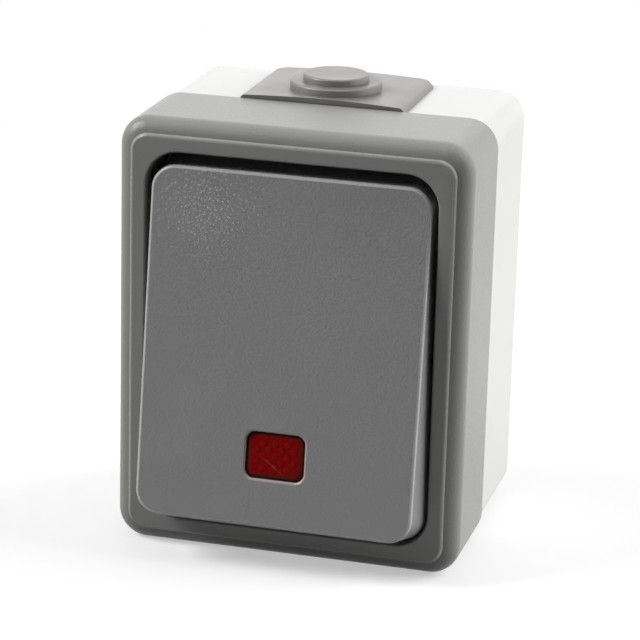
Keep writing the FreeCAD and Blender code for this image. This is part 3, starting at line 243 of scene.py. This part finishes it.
class SwitchStage(bpy.types.PropertyGroup):
    """Camera, lamps and floor."""

    camera_azimuth: FloatProperty(
        name="Camera azimuth",
        description="Turn of the view to the right of straight ahead",
        subtype="ANGLE",
        default=math.radians(14.95),
    )
    camera_elevation: FloatProperty(
        name="Camera elevation",
        description="Height of the view above level",
        subtype="ANGLE",
        default=math.radians(17.75),
    )
    camera_roll: FloatProperty(
        name="Camera roll",
        description="Turn of the view about its own axis",
        subtype="ANGLE",
        default=math.radians(1.53),
    )
    camera_offset: FloatVectorProperty(
        name="Camera offset",
        description="Place of the origin as the camera sees it: right, up, away",
        unit="LENGTH",
        size=3,
        default=(6.87 * MM, 8.38 * MM, 575.36 * MM),
    )
    camera_lens: FloatProperty(
        name="Camera lens",
        description="Focal length on a sensor 36 mm wide",
        default=164.2,
    )
    ambient: FloatProperty(
        name="Ambient",
        description="Strength of the even light from all sides",
        default=0.012,
        min=0.0,
    )
    front_gloss: FloatProperty(
        name="Front gloss",
        description="Strength of the surround in front, as gloss shows it",
        default=0.25,
        min=0.0,
        max=1.0,
    )
    top_lamp: FloatProperty(
        name="Top lamp",
        description="Power of the soft lamp overhead",
        unit="POWER",
        default=2.3,
        min=0.0,
    )
    right_lamp: FloatProperty(
        name="Right lamp",
        description="Power of the soft lamp on the right, behind the switch",
        unit="POWER",
        default=22.7,
        min=0.0,
    )
    left_lamp: FloatProperty(
        name="Left lamp",
        description="Power of the soft lamp on the left, before the switch",
        unit="POWER",
        default=12.3,
        min=0.0,
    )
    back_lamp: FloatProperty(
        name="Back lamp",
        description="Power of the soft lamp behind the switch",
        unit="POWER",
        default=1.4,
        min=0.0,
    )
    spark_lamp: FloatProperty(
        name="Spark lamp",
        description="Power of the small lamp that picks out the grain",
        unit="POWER",
        default=0.00095,
        min=0.0,
    )
    floor_white: FloatVectorProperty(
        name="Floor white",
        description="Colour of the floor as the camera and gloss see it",
        subtype="COLOR",
        size=4,
        default=(1.0, 1.0, 1.0, 1.0),
        min=0.0,
        max=1.0,
    )
    floor_grey: FloatVectorProperty(
        name="Floor grey",
        description="Colour of the light that the floor throws back on the switch",
        subtype="COLOR",
        size=4,
        default=(0.18, 0.18, 0.18, 1.0),
        min=0.0,
        max=1.0,
    )
    shadow_lift: FloatProperty(
        name="Shadow lift",
        description="Share of plain white in the floor near the switch, as the camera sees it",
        subtype="FACTOR",
        default=0.36,
        min=0.0,
        max=1.0,
    )
    floor_glow: FloatProperty(
        name="Floor glow",
        description="Strength of that white near the switch, which evens out the lit floor",
        default=1.25,
        min=0.0,
    )
    floor_near: FloatProperty(
        name="Floor near",
        description="Distance from the switch where the floor starts to fade to white",
        unit="LENGTH",
        default=0.09,
    )
    floor_far: FloatProperty(
        name="Floor far",
        description="Distance from the switch where the floor is white",
        unit="LENGTH",
        default=0.30,
    )
    floor_size: FloatProperty(
        name="Floor size",
        description="Half the length of the floor",
        unit="LENGTH",
        default=3.0,
    )


# Materials


def add_node(tree, kind, values=None, **settings):
    """A new node of the tree, with values on its input sockets and settings on itself."""
    node = tree.nodes.new(kind)
    for name, value in settings.items():
        setattr(node, name, value)
    for name, value in (values or {}).items():
        node.inputs[name].default_value = value
    return node


def new_material(name):
    """A material with an empty tree, its shader and the piece's own coordinates."""
    material = bpy.data.materials.new(name)
    material.use_nodes = True
    tree = material.node_tree
    tree.nodes.clear()
    shader = add_node(tree, "ShaderNodeBsdfPrincipled")
    output = add_node(tree, "ShaderNodeOutputMaterial")
    tree.links.new(shader.outputs["BSDF"], output.inputs["Surface"])
    place = add_node(tree, "ShaderNodeTexCoord")
    return material, tree, shader, place.outputs["Object"]


def noise(tree, place, size, detail=3.0, roughness=0.55):
    """Noise whose blobs are about this size, in metres."""
    node = add_node(
        tree,
        "ShaderNodeTexNoise",
        {"Scale": 1.0 / size, "Detail": detail, "Roughness": roughness},
    )
    tree.links.new(place, node.inputs["Vector"])
    return node.outputs["Fac"]


def spread(tree, source, low, high, start=0.3, end=0.7):
    """The source's range from start to end, mapped to low..high."""
    node = add_node(
        tree,
        "ShaderNodeMapRange",
        {"From Min": start, "From Max": end, "To Min": low, "To Max": high},
    )
    tree.links.new(source, node.inputs["Value"])
    return node.outputs["Result"]


def shaded(tree, factor, colour, dark, light):
    """The colour, varied between two brightnesses by a factor from 0 to 1."""
    node = add_node(tree, "ShaderNodeMix", data_type="RGBA")
    node.inputs["A"].default_value = (*[c * dark for c in colour[:3]], 1.0)
    node.inputs["B"].default_value = (*[min(1.0, c * light) for c in colour[:3]], 1.0)
    tree.links.new(factor, node.inputs["Factor"])
    return node.outputs["Result"]


def bump(tree, shader, height, depth, strength=1.0, below=None):
    """Relief of this depth, in metres, on the shader's normal."""
    node = add_node(tree, "ShaderNodeBump", {"Strength": strength, "Distance": depth})
    tree.links.new(height, node.inputs["Height"])
    if below is not None:
        tree.links.new(below, node.inputs["Normal"])
    tree.links.new(node.outputs["Normal"], shader.inputs["Normal"])
    return node.outputs["Normal"]


def between(tree, factor, first, second, kind="FLOAT"):
    """A mix of two values or sockets, of numbers or of colours."""
    node = add_node(tree, "ShaderNodeMix", data_type=kind)
    tree.links.new(factor, node.inputs["Factor"])
    for place, value in (("A", first), ("B", second)):
        if isinstance(value, bpy.types.NodeSocket):
            tree.links.new(value, node.inputs[place])
        else:
            node.inputs[place].default_value = value
    return node.outputs["Result"]


def moulded_plastic(name, colour, grain, depth, roughness, mottle=0.04, glint=0.0, shine=0.5):
    """Moulded plastic with a spark-eroded grain, faint flow marks and glints on the grain."""
    flow_size = 14 * MM
    grain_share = 0.5
    unevenness = 0.06
    material, tree, shader, place = new_material(name)
    fine = noise(tree, place, grain, detail=4.0)
    flow = noise(tree, place, flow_size, detail=2.0)
    tone = add_node(tree, "ShaderNodeMath", operation="MULTIPLY_ADD")
    tree.links.new(fine, tone.inputs[0])
    tone.inputs[1].default_value = grain_share
    tree.links.new(spread(tree, flow, 0.0, 1.0 - grain_share), tone.inputs[2])
    tree.links.new(
        shaded(tree, tone.outputs["Value"], colour, 1.0 - mottle, 1.0 + mottle),
        shader.inputs["Base Color"],
    )
    tree.links.new(
        spread(tree, fine, roughness - unevenness, roughness + unevenness),
        shader.inputs["Roughness"],
    )
    shader.inputs["Specular IOR Level"].default_value = shine
    bump(tree, shader, fine, depth)
    if glint:
        add_glints(tree, shader, place, glint)
    return material


def add_glints(tree, shader, place, weight):
    """A coat of small domes on the shader, which catch a lamp here and there."""
    dome_size = 0.8 * MM
    dome_rise = 0.02 * MM
    shader.inputs["Coat Weight"].default_value = weight
    shader.inputs["Coat Roughness"].default_value = 0.08
    cells = add_node(tree, "ShaderNodeTexVoronoi", {"Scale": 1.0 / dome_size})
    tree.links.new(place, cells.inputs["Vector"])
    dome = add_node(tree, "ShaderNodeMath", operation="POWER")
    dome.inputs[1].default_value = 2.0
    tree.links.new(cells.outputs["Distance"], dome.inputs[0])
    fleck = add_node(tree, "ShaderNodeBump", {"Strength": 1.0, "Distance": dome_rise})
    tree.links.new(dome.outputs["Value"], fleck.inputs["Height"])
    tree.links.new(fleck.outputs["Normal"], shader.inputs["Coat Normal"])


def soft_rubber(name, colour, roughness=0.6, shine=0.5, ior=1.5):
    """Matt moulded elastomer, slightly mottled and dusty."""
    fine_size = 0.35 * MM
    fine_depth = 0.012 * MM
    patch_size = 9 * MM
    unevenness = 0.08
    material, tree, shader, place = new_material(name)
    fine = noise(tree, place, fine_size, detail=3.0)
    patch = noise(tree, place, patch_size, detail=4.0)
    tree.links.new(
        shaded(tree, spread(tree, patch, 0.0, 1.0), colour, dark=0.93, light=1.05),
        shader.inputs["Base Color"],
    )
    tree.links.new(
        spread(tree, patch, roughness - unevenness, roughness + unevenness),
        shader.inputs["Roughness"],
    )
    shader.inputs["Specular IOR Level"].default_value = shine
    shader.inputs["IOR"].default_value = ior
    bump(tree, shader, fine, fine_depth)
    return material


def bare_metal(name, colour, roughness, grain_length=8.0):
    """Stamped or plated metal with fine rolling marks along its length."""
    mark_size = 2.5 * MM
    mark_depth = 0.004 * MM
    cloud_size = 5 * MM
    smoother, rougher = 0.08, 0.1
    material, tree, shader, place = new_material(name)
    stretch = add_node(tree, "ShaderNodeMapping")
    stretch.inputs["Scale"].default_value = (1.0, grain_length, grain_length)
    tree.links.new(place, stretch.inputs["Vector"])
    marks = noise(tree, stretch.outputs["Vector"], mark_size, detail=4.0)
    cloud = noise(tree, place, cloud_size, detail=3.0)
    shader.inputs["Metallic"].default_value = 1.0
    tree.links.new(
        shaded(tree, spread(tree, cloud, 0.0, 1.0), colour, dark=0.88, light=1.05),
        shader.inputs["Base Color"],
    )
    tree.links.new(
        spread(tree, marks, roughness - smoother, roughness + rougher), shader.inputs["Roughness"]
    )
    bump(tree, shader, marks, mark_depth)
    return material


def lamp_glass(name, colour):
    """Thin blown glass, faintly uneven."""
    ripple_size = 2 * MM
    ripple_depth = 0.01 * MM
    smoothest, roughest = 0.02, 0.07
    material, tree, shader, place = new_material(name)
    ripple = noise(tree, place, ripple_size, detail=1.0)
    shader.inputs["Transmission Weight"].default_value = 0.9
    shader.inputs["IOR"].default_value = 1.47
    tree.links.new(
        shaded(tree, spread(tree, ripple, 0.0, 1.0), colour, dark=0.96, light=1.02),
        shader.inputs["Base Color"],
    )
    tree.links.new(spread(tree, ripple, smoothest, roughest), shader.inputs["Roughness"])
    bump(tree, shader, ripple, ripple_depth)
    return material


def lens_red(name, colour, border, middle):
    """Clear red plastic over prisms: darker at the border as painted shade, darker on each prism,
    with a pale streak.
    """
    cloud_size = 1.1 * MM
    cloud_depth = 0.008 * MM
    dullest, clearest = 0.85, 1.15
    smoothest, roughest = 0.14, 0.24
    material, tree, shader, place = new_material(name)
    tone = add_node(tree, "ShaderNodeAttribute", attribute_name="tone")
    cloud = noise(tree, place, cloud_size, detail=2.0)
    mixed = add_node(tree, "ShaderNodeMath", operation="MULTIPLY")
    tree.links.new(tone.outputs["Fac"], mixed.inputs[0])
    tree.links.new(spread(tree, cloud, dullest, clearest), mixed.inputs[1])
    # Painted shade: the colour goes to the border colour where the tone falls off towards the
    # lens's edge
    body = between(tree, mixed.outputs["Value"], border, colour, "RGBA")
    tree.links.new(add_streak(tree, place, body, middle), shader.inputs["Base Color"])
    shader.inputs["Specular IOR Level"].default_value = 0.03
    tree.links.new(spread(tree, cloud, smoothest, roughest), shader.inputs["Roughness"])
    bump(tree, shader, cloud, cloud_depth)
    return material


def add_streak(tree, place, body, middle):
    """The body colour with a faint pale streak, slanting down to the right of the middle."""
    offset = Vector((-0.4, 0.0, -1.5)) * MM
    slant = math.radians(36.0)
    reach = Vector((3.2, 50.0, 0.22)) * MM
    pale = (0.55, 0.12, 0.13, 1.0)
    strongest = 0.35
    full_at = 0.8
    streak = add_node(tree, "ShaderNodeMapping", vector_type="TEXTURE")
    streak.inputs["Location"].default_value = middle + offset
    streak.inputs["Rotation"].default_value = (0.0, slant, 0.0)
    streak.inputs["Scale"].default_value = reach
    tree.links.new(place, streak.inputs["Vector"])
    glow = add_node(tree, "ShaderNodeTexGradient", gradient_type="SPHERICAL")
    tree.links.new(streak.outputs["Vector"], glow.inputs["Vector"])
    faint = spread(tree, glow.outputs["Fac"], 0.0, strongest, start=0.0, end=full_at)
    return between(tree, faint, body, pale, "RGBA")


# Pieces


def merged_copy(node_name):
    """A bmesh of a solid's mesh, with its loose triangles joined into whole faces."""
    weld = 0.002 * MM
    flat = math.radians(0.3)
    solid = frame["nodes"][node_name]
    bm = bmesh.new()
    bm.from_mesh(solid.data)
    bmesh.ops.remove_doubles(bm, verts=bm.verts, dist=weld)
    bmesh.ops.dissolve_limit(
        bm,
        angle_limit=flat,
        use_dissolve_boundaries=False,
        verts=bm.verts,
        edges=bm.edges,
    )
    return bm


def shade(bm, angle):
    """Round shading, broken where an edge is sharper than the angle."""
    for face in bm.faces:
        face.smooth = True
    for edge in bm.edges:
        edge.smooth = len(edge.link_faces) == 2 and edge.calc_face_angle() < angle


def slanted_faces(bm, outward, depth):
    """The slanted faces next to the front, each with its middle."""
    steepest, flattest = 0.05, 0.985
    front = max(vert.co.dot(outward) for vert in bm.verts)
    found = []
    for face in bm.faces:
        middle = face.calc_center_median()
        near = front - middle.dot(outward) < depth
        if near and steepest < face.normal.dot(outward) < flattest:
            found.append((face, middle))
    return found


def face_normal():
    """Direction that the rocker's face looks in at rest."""
    plate = max(frame["nodes"]["rocker"].data.polygons, key=lambda p: p.area)
    return plate.normal.copy() if plate.normal.y < 0 else -plate.normal


def lean_walls(bm, outward, side_draft, end_draft):
    """Leans the walls around a plate outward below its front, and leaves what sticks out."""
    plate_depth = 1.0 * MM
    wall_reach = 6.0 * MM
    play = 0.3 * MM
    across = Vector((1.0, 0.0, 0.0))
    front = max(vert.co.dot(outward) for vert in bm.verts)
    for axis, draft in ((across, side_draft), (outward.cross(across), end_draft)):
        depths = [front - vert.co.dot(outward) for vert in bm.verts]
        places = [vert.co.dot(axis) for vert in bm.verts]
        plate = [place for place, depth in zip(places, depths) if depth < plate_depth]
        middle = (max(plate) + min(plate)) / 2
        half = (max(plate) - min(plate)) / 2
        for vert, place, depth in zip(bm.verts, places, depths):
            away = place - middle
            if half - wall_reach < abs(away) < half + play:
                vert.co += axis * math.copysign(depth * math.tan(draft), away)
    bm.normal_update()


def place_piece(bm, name, materials, body, node_name):
    """Makes the bmesh an object that stands for a solid and moves with its body."""
    mesh = bpy.data.meshes.new(name)
    bm.to_mesh(mesh)
    bm.free()
    for material in materials:
        mesh.materials.append(material)
    piece = bpy.data.objects.new(name, mesh)
    bpy.context.scene.collection.objects.link(piece)
    even = piece.modifiers.new("even_shading", "WEIGHTED_NORMAL")
    even.keep_sharp = True
    even.weight = EVEN_SHADING
    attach(piece, body)
    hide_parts(node_name)
    return piece


def dress(node_names, material):
    """Gives carried-over solids their finish."""
    for name in node_names:
        solid = frame["nodes"].get(name)
        if solid is None:
            raise RuntimeError(f"the packed model has no piece named {name}")
        solid.data.materials.clear()
        solid.data.materials.append(material)


class SWITCH_OT_back_box(bpy.types.Operator):
    """White surface box with soft edges"""

    bl_idname = "switch.back_box"
    bl_label = "Back Box"

    def execute(self, context):
        finish = context.scene.switch_finish
        white = moulded_plastic(
            "white_housing",
            finish.box_white,
            grain=0.3 * MM,
            depth=0.004 * MM,
            roughness=0.36,
            mottle=0.012,
            shine=0.3,
        )
        bm = merged_copy("back_box")
        shade(bm, context.scene.switch_forms.smooth_angle)
        place_piece(bm, "box_shell", [white], "housing", "back_box")
        return {"FINISHED"}


class SWITCH_OT_front_cover(bpy.types.Operator):
    """Grey cover with its rounded shoulder, raised frame and well, with a painted highlight on the
    frame's bead
    """

    bl_idname = "switch.front_cover"
    bl_label = "Front Cover"

    def execute(self, context):
        finish = context.scene.switch_finish
        grain_share = 0.62
        bead_highlight_lift = 1.35
        bead_depth = 0.75 * MM
        bead_slot = 1
        grey = moulded_plastic(
            "grey_cover",
            finish.cover_grey,
            grain=finish.grain,
            depth=grain_share * finish.grain_depth,
            roughness=0.38,
        )
        # Painted highlight: the bead's slanted faces take a lighter copy of the cover grey
        bead = moulded_plastic(
            "cover_bead",
            [bead_highlight_lift * c for c in finish.cover_grey],
            grain=finish.grain,
            depth=0.01 * MM,
            roughness=0.3,
        )
        bm = merged_copy("front_cover")
        for face, middle in slanted_faces(bm, Vector((0.0, -1.0, 0.0)), bead_depth):
            if face.normal.x * middle.x + face.normal.z * middle.z > 0:
                face.material_index = bead_slot
        shade(bm, context.scene.switch_forms.smooth_angle)
        place_piece(bm, "cover_shell", [grey, bead], "housing", "front_cover")
        return {"FINISHED"}


class SWITCH_OT_rocker(bpy.types.Operator):
    """Grained rocker with a painted highlight on its edges, and drafted walls"""

    bl_idname = "switch.rocker"
    bl_label = "Rocker"

    def execute(self, context):
        finish = context.scene.switch_finish
        forms = context.scene.switch_forms
        edge_highlight_lift = 1.9
        edge_depth = 0.65 * MM
        rim_reach = 1.5 * MM
        pin_length = 2.0 * MM
        wall_limit = 0.1
        edge_highlight_slot, rim_slot, pin_slot = 1, 2, 3
        grey = moulded_plastic(
            "grey_rocker",
            finish.rocker_grey,
            grain=finish.grain,
            depth=finish.grain_depth,
            roughness=0.4,
            mottle=0.07,
            glint=0.35,
        )
        # Painted highlight: the slanted faces along the rocker's edges take a lighter copy of the
        # rocker grey
        edge = moulded_plastic(
            "rocker_edge",
            [edge_highlight_lift * c for c in finish.rocker_grey],
            grain=finish.grain,
            depth=0.01 * MM,
            roughness=0.28,
        )
        # Painted highlight: the bevel round the lens's window takes a lighter colour all round
        rim = moulded_plastic(
            "window_rim", finish.rim_highlight, grain=finish.grain, depth=0.01 * MM, roughness=0.35
        )
        # Painted shade: the hinge pins in the gap are coloured near black
        pin = moulded_plastic(
            "greased_pin",
            PIN_SHADE_BLACK,
            grain=finish.grain,
            depth=0.005 * MM,
            roughness=0.6,
            shine=0.1,
        )
        bm = merged_copy("rocker")
        low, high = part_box("indicator_lens")
        pin_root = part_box("rocker")[1][0] - pin_length
        for face in bm.faces:
            if abs(face.calc_center_median().x) > pin_root:
                face.material_index = pin_slot
        rims = set()
        for face, middle in slanted_faces(bm, face_normal(), edge_depth):
            across = low[0] - rim_reach < middle.x < high[0] + rim_reach
            along = low[2] - rim_reach < middle.z < high[2] + rim_reach
            face.material_index = edge_highlight_slot
            if across and along:
                face.material_index = rim_slot
                rims.add(face)
        lean_walls(bm, face_normal(), forms.side_draft, forms.end_draft)
        shade(bm, forms.smooth_angle)
        for edge_line in {line for face in rims for line in face.edges}:
            walls = [face for face in edge_line.link_faces if face not in rims]
            if walls and abs(walls[0].normal.dot(face_normal())) < wall_limit:
                edge_line.smooth = False
        place_piece(bm, "rocker_cap", [grey, edge, rim, pin], "rocker", "rocker")
        return {"FINISHED"}


class SWITCH_OT_lens(bpy.types.Operator):
    """Red pilot lens with painted shade along its border and rows of prisms"""

    bl_idname = "switch.lens"
    bl_label = "Pilot Lens"

    clear_tone = 0.96
    prism_dip = 0.3
    facing = 0.99

    def execute(self, context):
        forms = context.scene.switch_forms
        finish = context.scene.switch_finish
        low, high = (Vector(corner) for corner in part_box("indicator_lens"))
        red = lens_red("red_lens", finish.lens_red, finish.lens_shade_border, (low + high) / 2)
        bm = merged_copy("indicator_lens")
        tone = bm.verts.layers.float.new("tone")
        outward = face_normal()
        front = max(
            (f for f in bm.faces if f.normal.dot(outward) > self.facing),
            key=lambda f: f.calc_center_median().dot(outward),
        )
        middle = front.calc_center_median()
        reach = [max(abs(v.co[k] - middle[k]) for v in front.verts) for k in (0, 2)]
        # The band outside the inset keeps tone 0: painted shade along the lens's border
        bmesh.ops.inset_region(
            bm, faces=[front], thickness=forms.lens_shade_border, use_even_offset=True
        )
        for vert in front.verts:
            vert[tone] = self.clear_tone
        self.add_prisms(bm, tone, middle, reach, outward, forms)
        shade(bm, forms.smooth_angle)
        place_piece(bm, "pilot_lens", [red], "rocker", "indicator_lens")
        return {"FINISHED"}

    def add_prisms(self, bm, tone, middle, reach, outward, forms):
        """Staggered rows of low round prisms on the lens's face."""
        across = Vector((1.0, 0.0, 0.0))
        upward = outward.cross(across)
        if upward.z < 0:
            upward = -upward
        reach_x, reach_z = reach[0], reach[1] / upward.z
        half = forms.prism_pitch / 2
        columns = int(reach_x / half)
        rows = int(reach_z / half)
        turn = Matrix((across, upward, outward)).transposed().to_4x4()
        flat = Matrix.Diagonal((1, 1, forms.prism_rise / forms.prism_radius, 1))
        for row in range(-rows, rows + 1):
            for column in range(-columns, columns + 1):
                x, z = column * half, row * half
                inside = min(reach_x - abs(x), reach_z - abs(z)) - forms.prism_radius
                if (row + column) % 2 or inside < 0:
                    continue
                made = bmesh.ops.create_uvsphere(
                    bm, u_segments=12, v_segments=6, radius=forms.prism_radius
                )
                spot = Matrix.Translation(middle + across * x + upward * z)
                bmesh.ops.transform(bm, matrix=spot @ turn @ flat, verts=made["verts"])
                for vert in made["verts"]:
                    away = vert.co - middle
                    edge = min(reach_x - abs(away.dot(across)), reach_z - abs(away.dot(upward)))
                    height = max(0.0, min(1.0, away.dot(outward) / forms.prism_rise))
                    level = min(1.0, edge / forms.lens_shade_border)
                    vert[tone] = level * (self.clear_tone - self.prism_dip * height)


class SWITCH_OT_entry_seal(bpy.types.Operator):
    """Soft cable entry on top of the box"""

    bl_idname = "switch.entry_seal"
    bl_label = "Cable Entry Seal"

    def execute(self, context):
        colour = context.scene.switch_finish.seal_grey
        grey = soft_rubber("entry_elastomer", colour, roughness=0.4, shine=1.0, ior=1.7)
        bm = merged_copy("cable_entry_seal")
        shade(bm, context.scene.switch_forms.smooth_angle)
        place_piece(bm, "entry_pad", [grey], "housing", "cable_entry_seal")
        return {"FINISHED"}


class SWITCH_OT_insert(bpy.types.Operator):
    """Finishes of the seals, screws and switch insert inside the box"""

    bl_idname = "switch.insert"
    bl_label = "Switch Insert"

    def execute(self, context):
        rubber = soft_rubber("black_rubber", RUBBER_BLACK, roughness=0.55)
        steel = bare_metal("zinc_steel", ZINC_GREY, roughness=0.34)
        brass = bare_metal("brass", BRASS_YELLOW, roughness=0.3)
        silver = bare_metal("contact_metal", SILVER_WHITE, roughness=0.25)
        urea = moulded_plastic(
            "insulator", UREA_CREAM, grain=0.5 * MM, depth=0.005 * MM, roughness=0.4, mottle=0.03
        )
        lever = moulded_plastic(
            "lever_plastic", LEVER_BLACK, grain=0.4 * MM, depth=0.004 * MM, roughness=0.35
        )
        glass = lamp_glass("lamp_glass", GLASS_TINT)
        dress(["box_gasket", "cover_screw_seals", "window_seal"], rubber)
        dress(
            ["cover_screws", "mounting_strap", "strap_screws", "strap_rivets", "terminal_screws"],
            steel,
        )
        dress(
            [
                "common_strip",
                "upper_contact_strip",
                "lower_contact_strip",
                "neutral_strip",
                "contact_seesaw",
                "terminal_blocks",
                "lamp_lead_switched",
                "lamp_lead_neutral",
            ],
            brass,
        )
        dress(["fixed_contact_tips", "moving_contact_tips"], silver)
        dress(["switch_base", "lamp_holder"], urea)
        dress(["actuator", "plunger"], lever)
        dress(["neon_lamp"], glass)
        return {"FINISHED"}


class SWITCH_OT_plunger_coil(bpy.types.Operator):
    """Coil spring of the plunger, carried with the actuator"""

    bl_idname = "switch.plunger_coil"
    bl_label = "Plunger Coil"

    def execute(self, context):
        slide = next((j for j in frame["joints"] if j["name"] == "plunger_slide"), None)
        if slide is None:
            raise RuntimeError("the packed model has no joint named plunger_slide")
        wire = bare_metal("spring_steel", ZINC_GREY, roughness=0.34)
        bm = merged_copy("plunger_spring")
        shade(bm, context.scene.switch_forms.smooth_angle)
        coil = place_piece(bm, "plunger_coil", [wire], "actuator", "plunger_spring")
        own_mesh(coil)
        return {"FINISHED"}


# Stage


def larger(tree, first, second):
    """The larger of two values."""
    node = add_node(tree, "ShaderNodeMath", operation="MAXIMUM")
    tree.links.new(first, node.inputs[0])
    tree.links.new(second, node.inputs[1])
    return node.outputs["Value"]


class SWITCH_OT_stage(bpy.types.Operator):
    """Camera, soft lamps and a plain pale floor"""

    bl_idname = "switch.stage"
    bl_label = "Stage"

    def execute(self, context):
        stage = context.scene.switch_stage
        context.scene.view_settings.view_transform = "Standard"
        self.set_camera(context, stage)
        self.set_world(context, stage)
        self.lay_floor(context, stage)
        for name, power, spot, size, gloss in LAMPS:
            self.hang_lamp(context, name, spot, size, getattr(stage, power), gloss)
        return {"FINISHED"}

    @staticmethod
    def set_camera(context, stage):
        """Camera at the picture's viewing angle."""
        azimuth, elevation = stage.camera_azimuth, stage.camera_elevation
        back = Vector(
            (
                math.sin(azimuth) * math.cos(elevation),
                -math.cos(azimuth) * math.cos(elevation),
                math.sin(elevation),
            )
        )
        level = Vector((math.cos(azimuth), math.sin(azimuth), 0.0))
        turn = Matrix.Rotation(stage.camera_roll, 3, back)
        right = turn @ level
        up = back.cross(right)
        to_right, to_top, away = stage.camera_offset
        data = bpy.data.cameras.new("picture_camera")
        data.sensor_width = 36.0
        data.lens = stage.camera_lens
        data.clip_start = 0.01
        camera = bpy.data.objects.new("picture_camera", data)
        place = Matrix((right, up, back)).transposed().to_4x4()
        place.translation = back * away - right * to_right - up * to_top
        camera.matrix_world = place
        context.scene.collection.objects.link(camera)
        context.scene.camera = camera

    @staticmethod
    def set_world(context, stage):
        """Even light, white to the camera, and a surround that gloss shows."""
        front_end = -0.7
        side = 0.0
        world = bpy.data.worlds.new("white_surround")
        world.use_nodes = True
        tree = world.node_tree
        tree.nodes.clear()
        rays = add_node(tree, "ShaderNodeLightPath")
        gloss = larger(tree, rays.outputs["Is Glossy Ray"], rays.outputs["Is Transmission Ray"])
        way = add_node(tree, "ShaderNodeTexCoord")
        parts = add_node(tree, "ShaderNodeSeparateXYZ")
        tree.links.new(way.outputs["Generated"], parts.inputs["Vector"])
        surround = spread(tree, parts.outputs["Y"], stage.front_gloss, 1.0, front_end, side)
        strength = between(tree, gloss, stage.ambient, surround)
        strength = between(tree, rays.outputs["Is Camera Ray"], strength, 1.0)
        sky = add_node(tree, "ShaderNodeBackground", {"Color": (1.0, 1.0, 1.0, 1.0)})
        tree.links.new(strength, sky.inputs["Strength"])
        output = add_node(tree, "ShaderNodeOutputWorld")
        tree.links.new(sky.outputs["Background"], output.inputs["Surface"])
        context.scene.world = world

    @staticmethod
    def lay_floor(context, stage):
        """Pale floor under the switch that keeps its shadow."""
        material = bpy.data.materials.new("pale_floor")
        material.use_nodes = True
        tree = material.node_tree
        tree.nodes.clear()
        rays = add_node(tree, "ShaderNodeLightPath")
        gloss = larger(tree, rays.outputs["Is Glossy Ray"], rays.outputs["Is Transmission Ray"])
        seen = larger(tree, rays.outputs["Is Camera Ray"], gloss)
        matt = add_node(tree, "ShaderNodeBsdfDiffuse")
        colour = between(tree, seen, stage.floor_grey, stage.floor_white, "RGBA")
        tree.links.new(colour, matt.inputs["Color"])
        white = add_node(tree, "ShaderNodeEmission", {"Color": stage.floor_white})
        paler = add_node(tree, "ShaderNodeMixShader")
        place = add_node(tree, "ShaderNodeTexCoord")
        away = add_node(tree, "ShaderNodeVectorMath", operation="LENGTH")
        tree.links.new(place.outputs["Object"], away.inputs["Vector"])
        fade = (stage.floor_near, stage.floor_far)
        lift = spread(tree, away.outputs["Value"], stage.shadow_lift, 1.0, *fade)
        glow = spread(tree, away.outputs["Value"], stage.floor_glow, 1.0, *fade)
        tree.links.new(glow, white.inputs["Strength"])
        tree.links.new(between(tree, seen, 0.0, lift), paler.inputs["Fac"])
        tree.links.new(matt.outputs["BSDF"], paler.inputs[1])
        tree.links.new(white.outputs["Emission"], paler.inputs[2])
        output = add_node(tree, "ShaderNodeOutputMaterial")
        tree.links.new(paler.outputs["Shader"], output.inputs["Surface"])
        bm = bmesh.new()
        made = bmesh.ops.create_grid(bm, x_segments=1, y_segments=1, size=stage.floor_size)
        bmesh.ops.translate(bm, vec=(0.0, 0.0, SOLID_BOX[0][2]), verts=made["verts"])
        mesh = bpy.data.meshes.new("floor")
        bm.to_mesh(mesh)
        bm.free()
        mesh.materials.append(material)
        floor = bpy.data.objects.new("floor", mesh)
        context.scene.collection.objects.link(floor)

    @staticmethod
    def hang_lamp(context, name, spot, size, energy, gloss):
        """Square soft lamp that faces the switch, seen in its gloss or not."""
        data = bpy.data.lights.new(name, "AREA")
        data.size = size
        data.energy = energy
        lamp = bpy.data.objects.new(name, data)
        lamp.location = spot
        lamp.visible_camera = False
        lamp.visible_glossy = gloss
        aim = LAMP_AIM - Vector(spot)
        lamp.rotation_euler = aim.to_track_quat("-Z", "Y").to_euler()
        context.scene.collection.objects.link(lamp)


# Panel and run

PIECES = (
    SWITCH_OT_back_box,
    SWITCH_OT_front_cover,
    SWITCH_OT_rocker,
    SWITCH_OT_lens,
    SWITCH_OT_entry_seal,
    SWITCH_OT_insert,
    SWITCH_OT_plunger_coil,
    SWITCH_OT_stage,
)


class SWITCH_PT_dresser(bpy.types.Panel):
    """Lists the switch's pieces and their values"""

    bl_idname = "SWITCH_PT_dresser"
    bl_label = "Weatherproof Switch"
    bl_space_type = "VIEW_3D"
    bl_region_type = "UI"
    bl_category = "Switch"

    def draw(self, context):
        for operator in PIECES:
            self.layout.operator(operator.bl_idname)
        for group in (
            context.scene.switch_finish,
            context.scene.switch_forms,
            context.scene.switch_stage,
        ):
            column = self.layout.column(align=True)
            for name in group.__annotations__:
                column.prop(group, name)


GROUPS = (SwitchFinish, SwitchForms, SwitchStage)
CLASSES = (*GROUPS, *PIECES, SWITCH_PT_dresser)


def register():
    for cls in CLASSES:
        bpy.utils.register_class(cls)
    bpy.types.Scene.switch_finish = PointerProperty(type=SwitchFinish)
    bpy.types.Scene.switch_forms = PointerProperty(type=SwitchForms)
    bpy.types.Scene.switch_stage = PointerProperty(type=SwitchStage)


def unregister():
    del bpy.types.Scene.switch_stage
    del bpy.types.Scene.switch_forms
    del bpy.types.Scene.switch_finish
    for cls in reversed(CLASSES):
        bpy.utils.unregister_class(cls)


def main():
    register()
    bpy.ops.switch.back_box()
    bpy.ops.switch.front_cover()
    bpy.ops.switch.rocker()
    bpy.ops.switch.lens()
    bpy.ops.switch.entry_seal()
    bpy.ops.switch.insert()
    bpy.ops.switch.plunger_coil()
    bpy.ops.switch.stage()


if __name__ == "__main__":
    main()
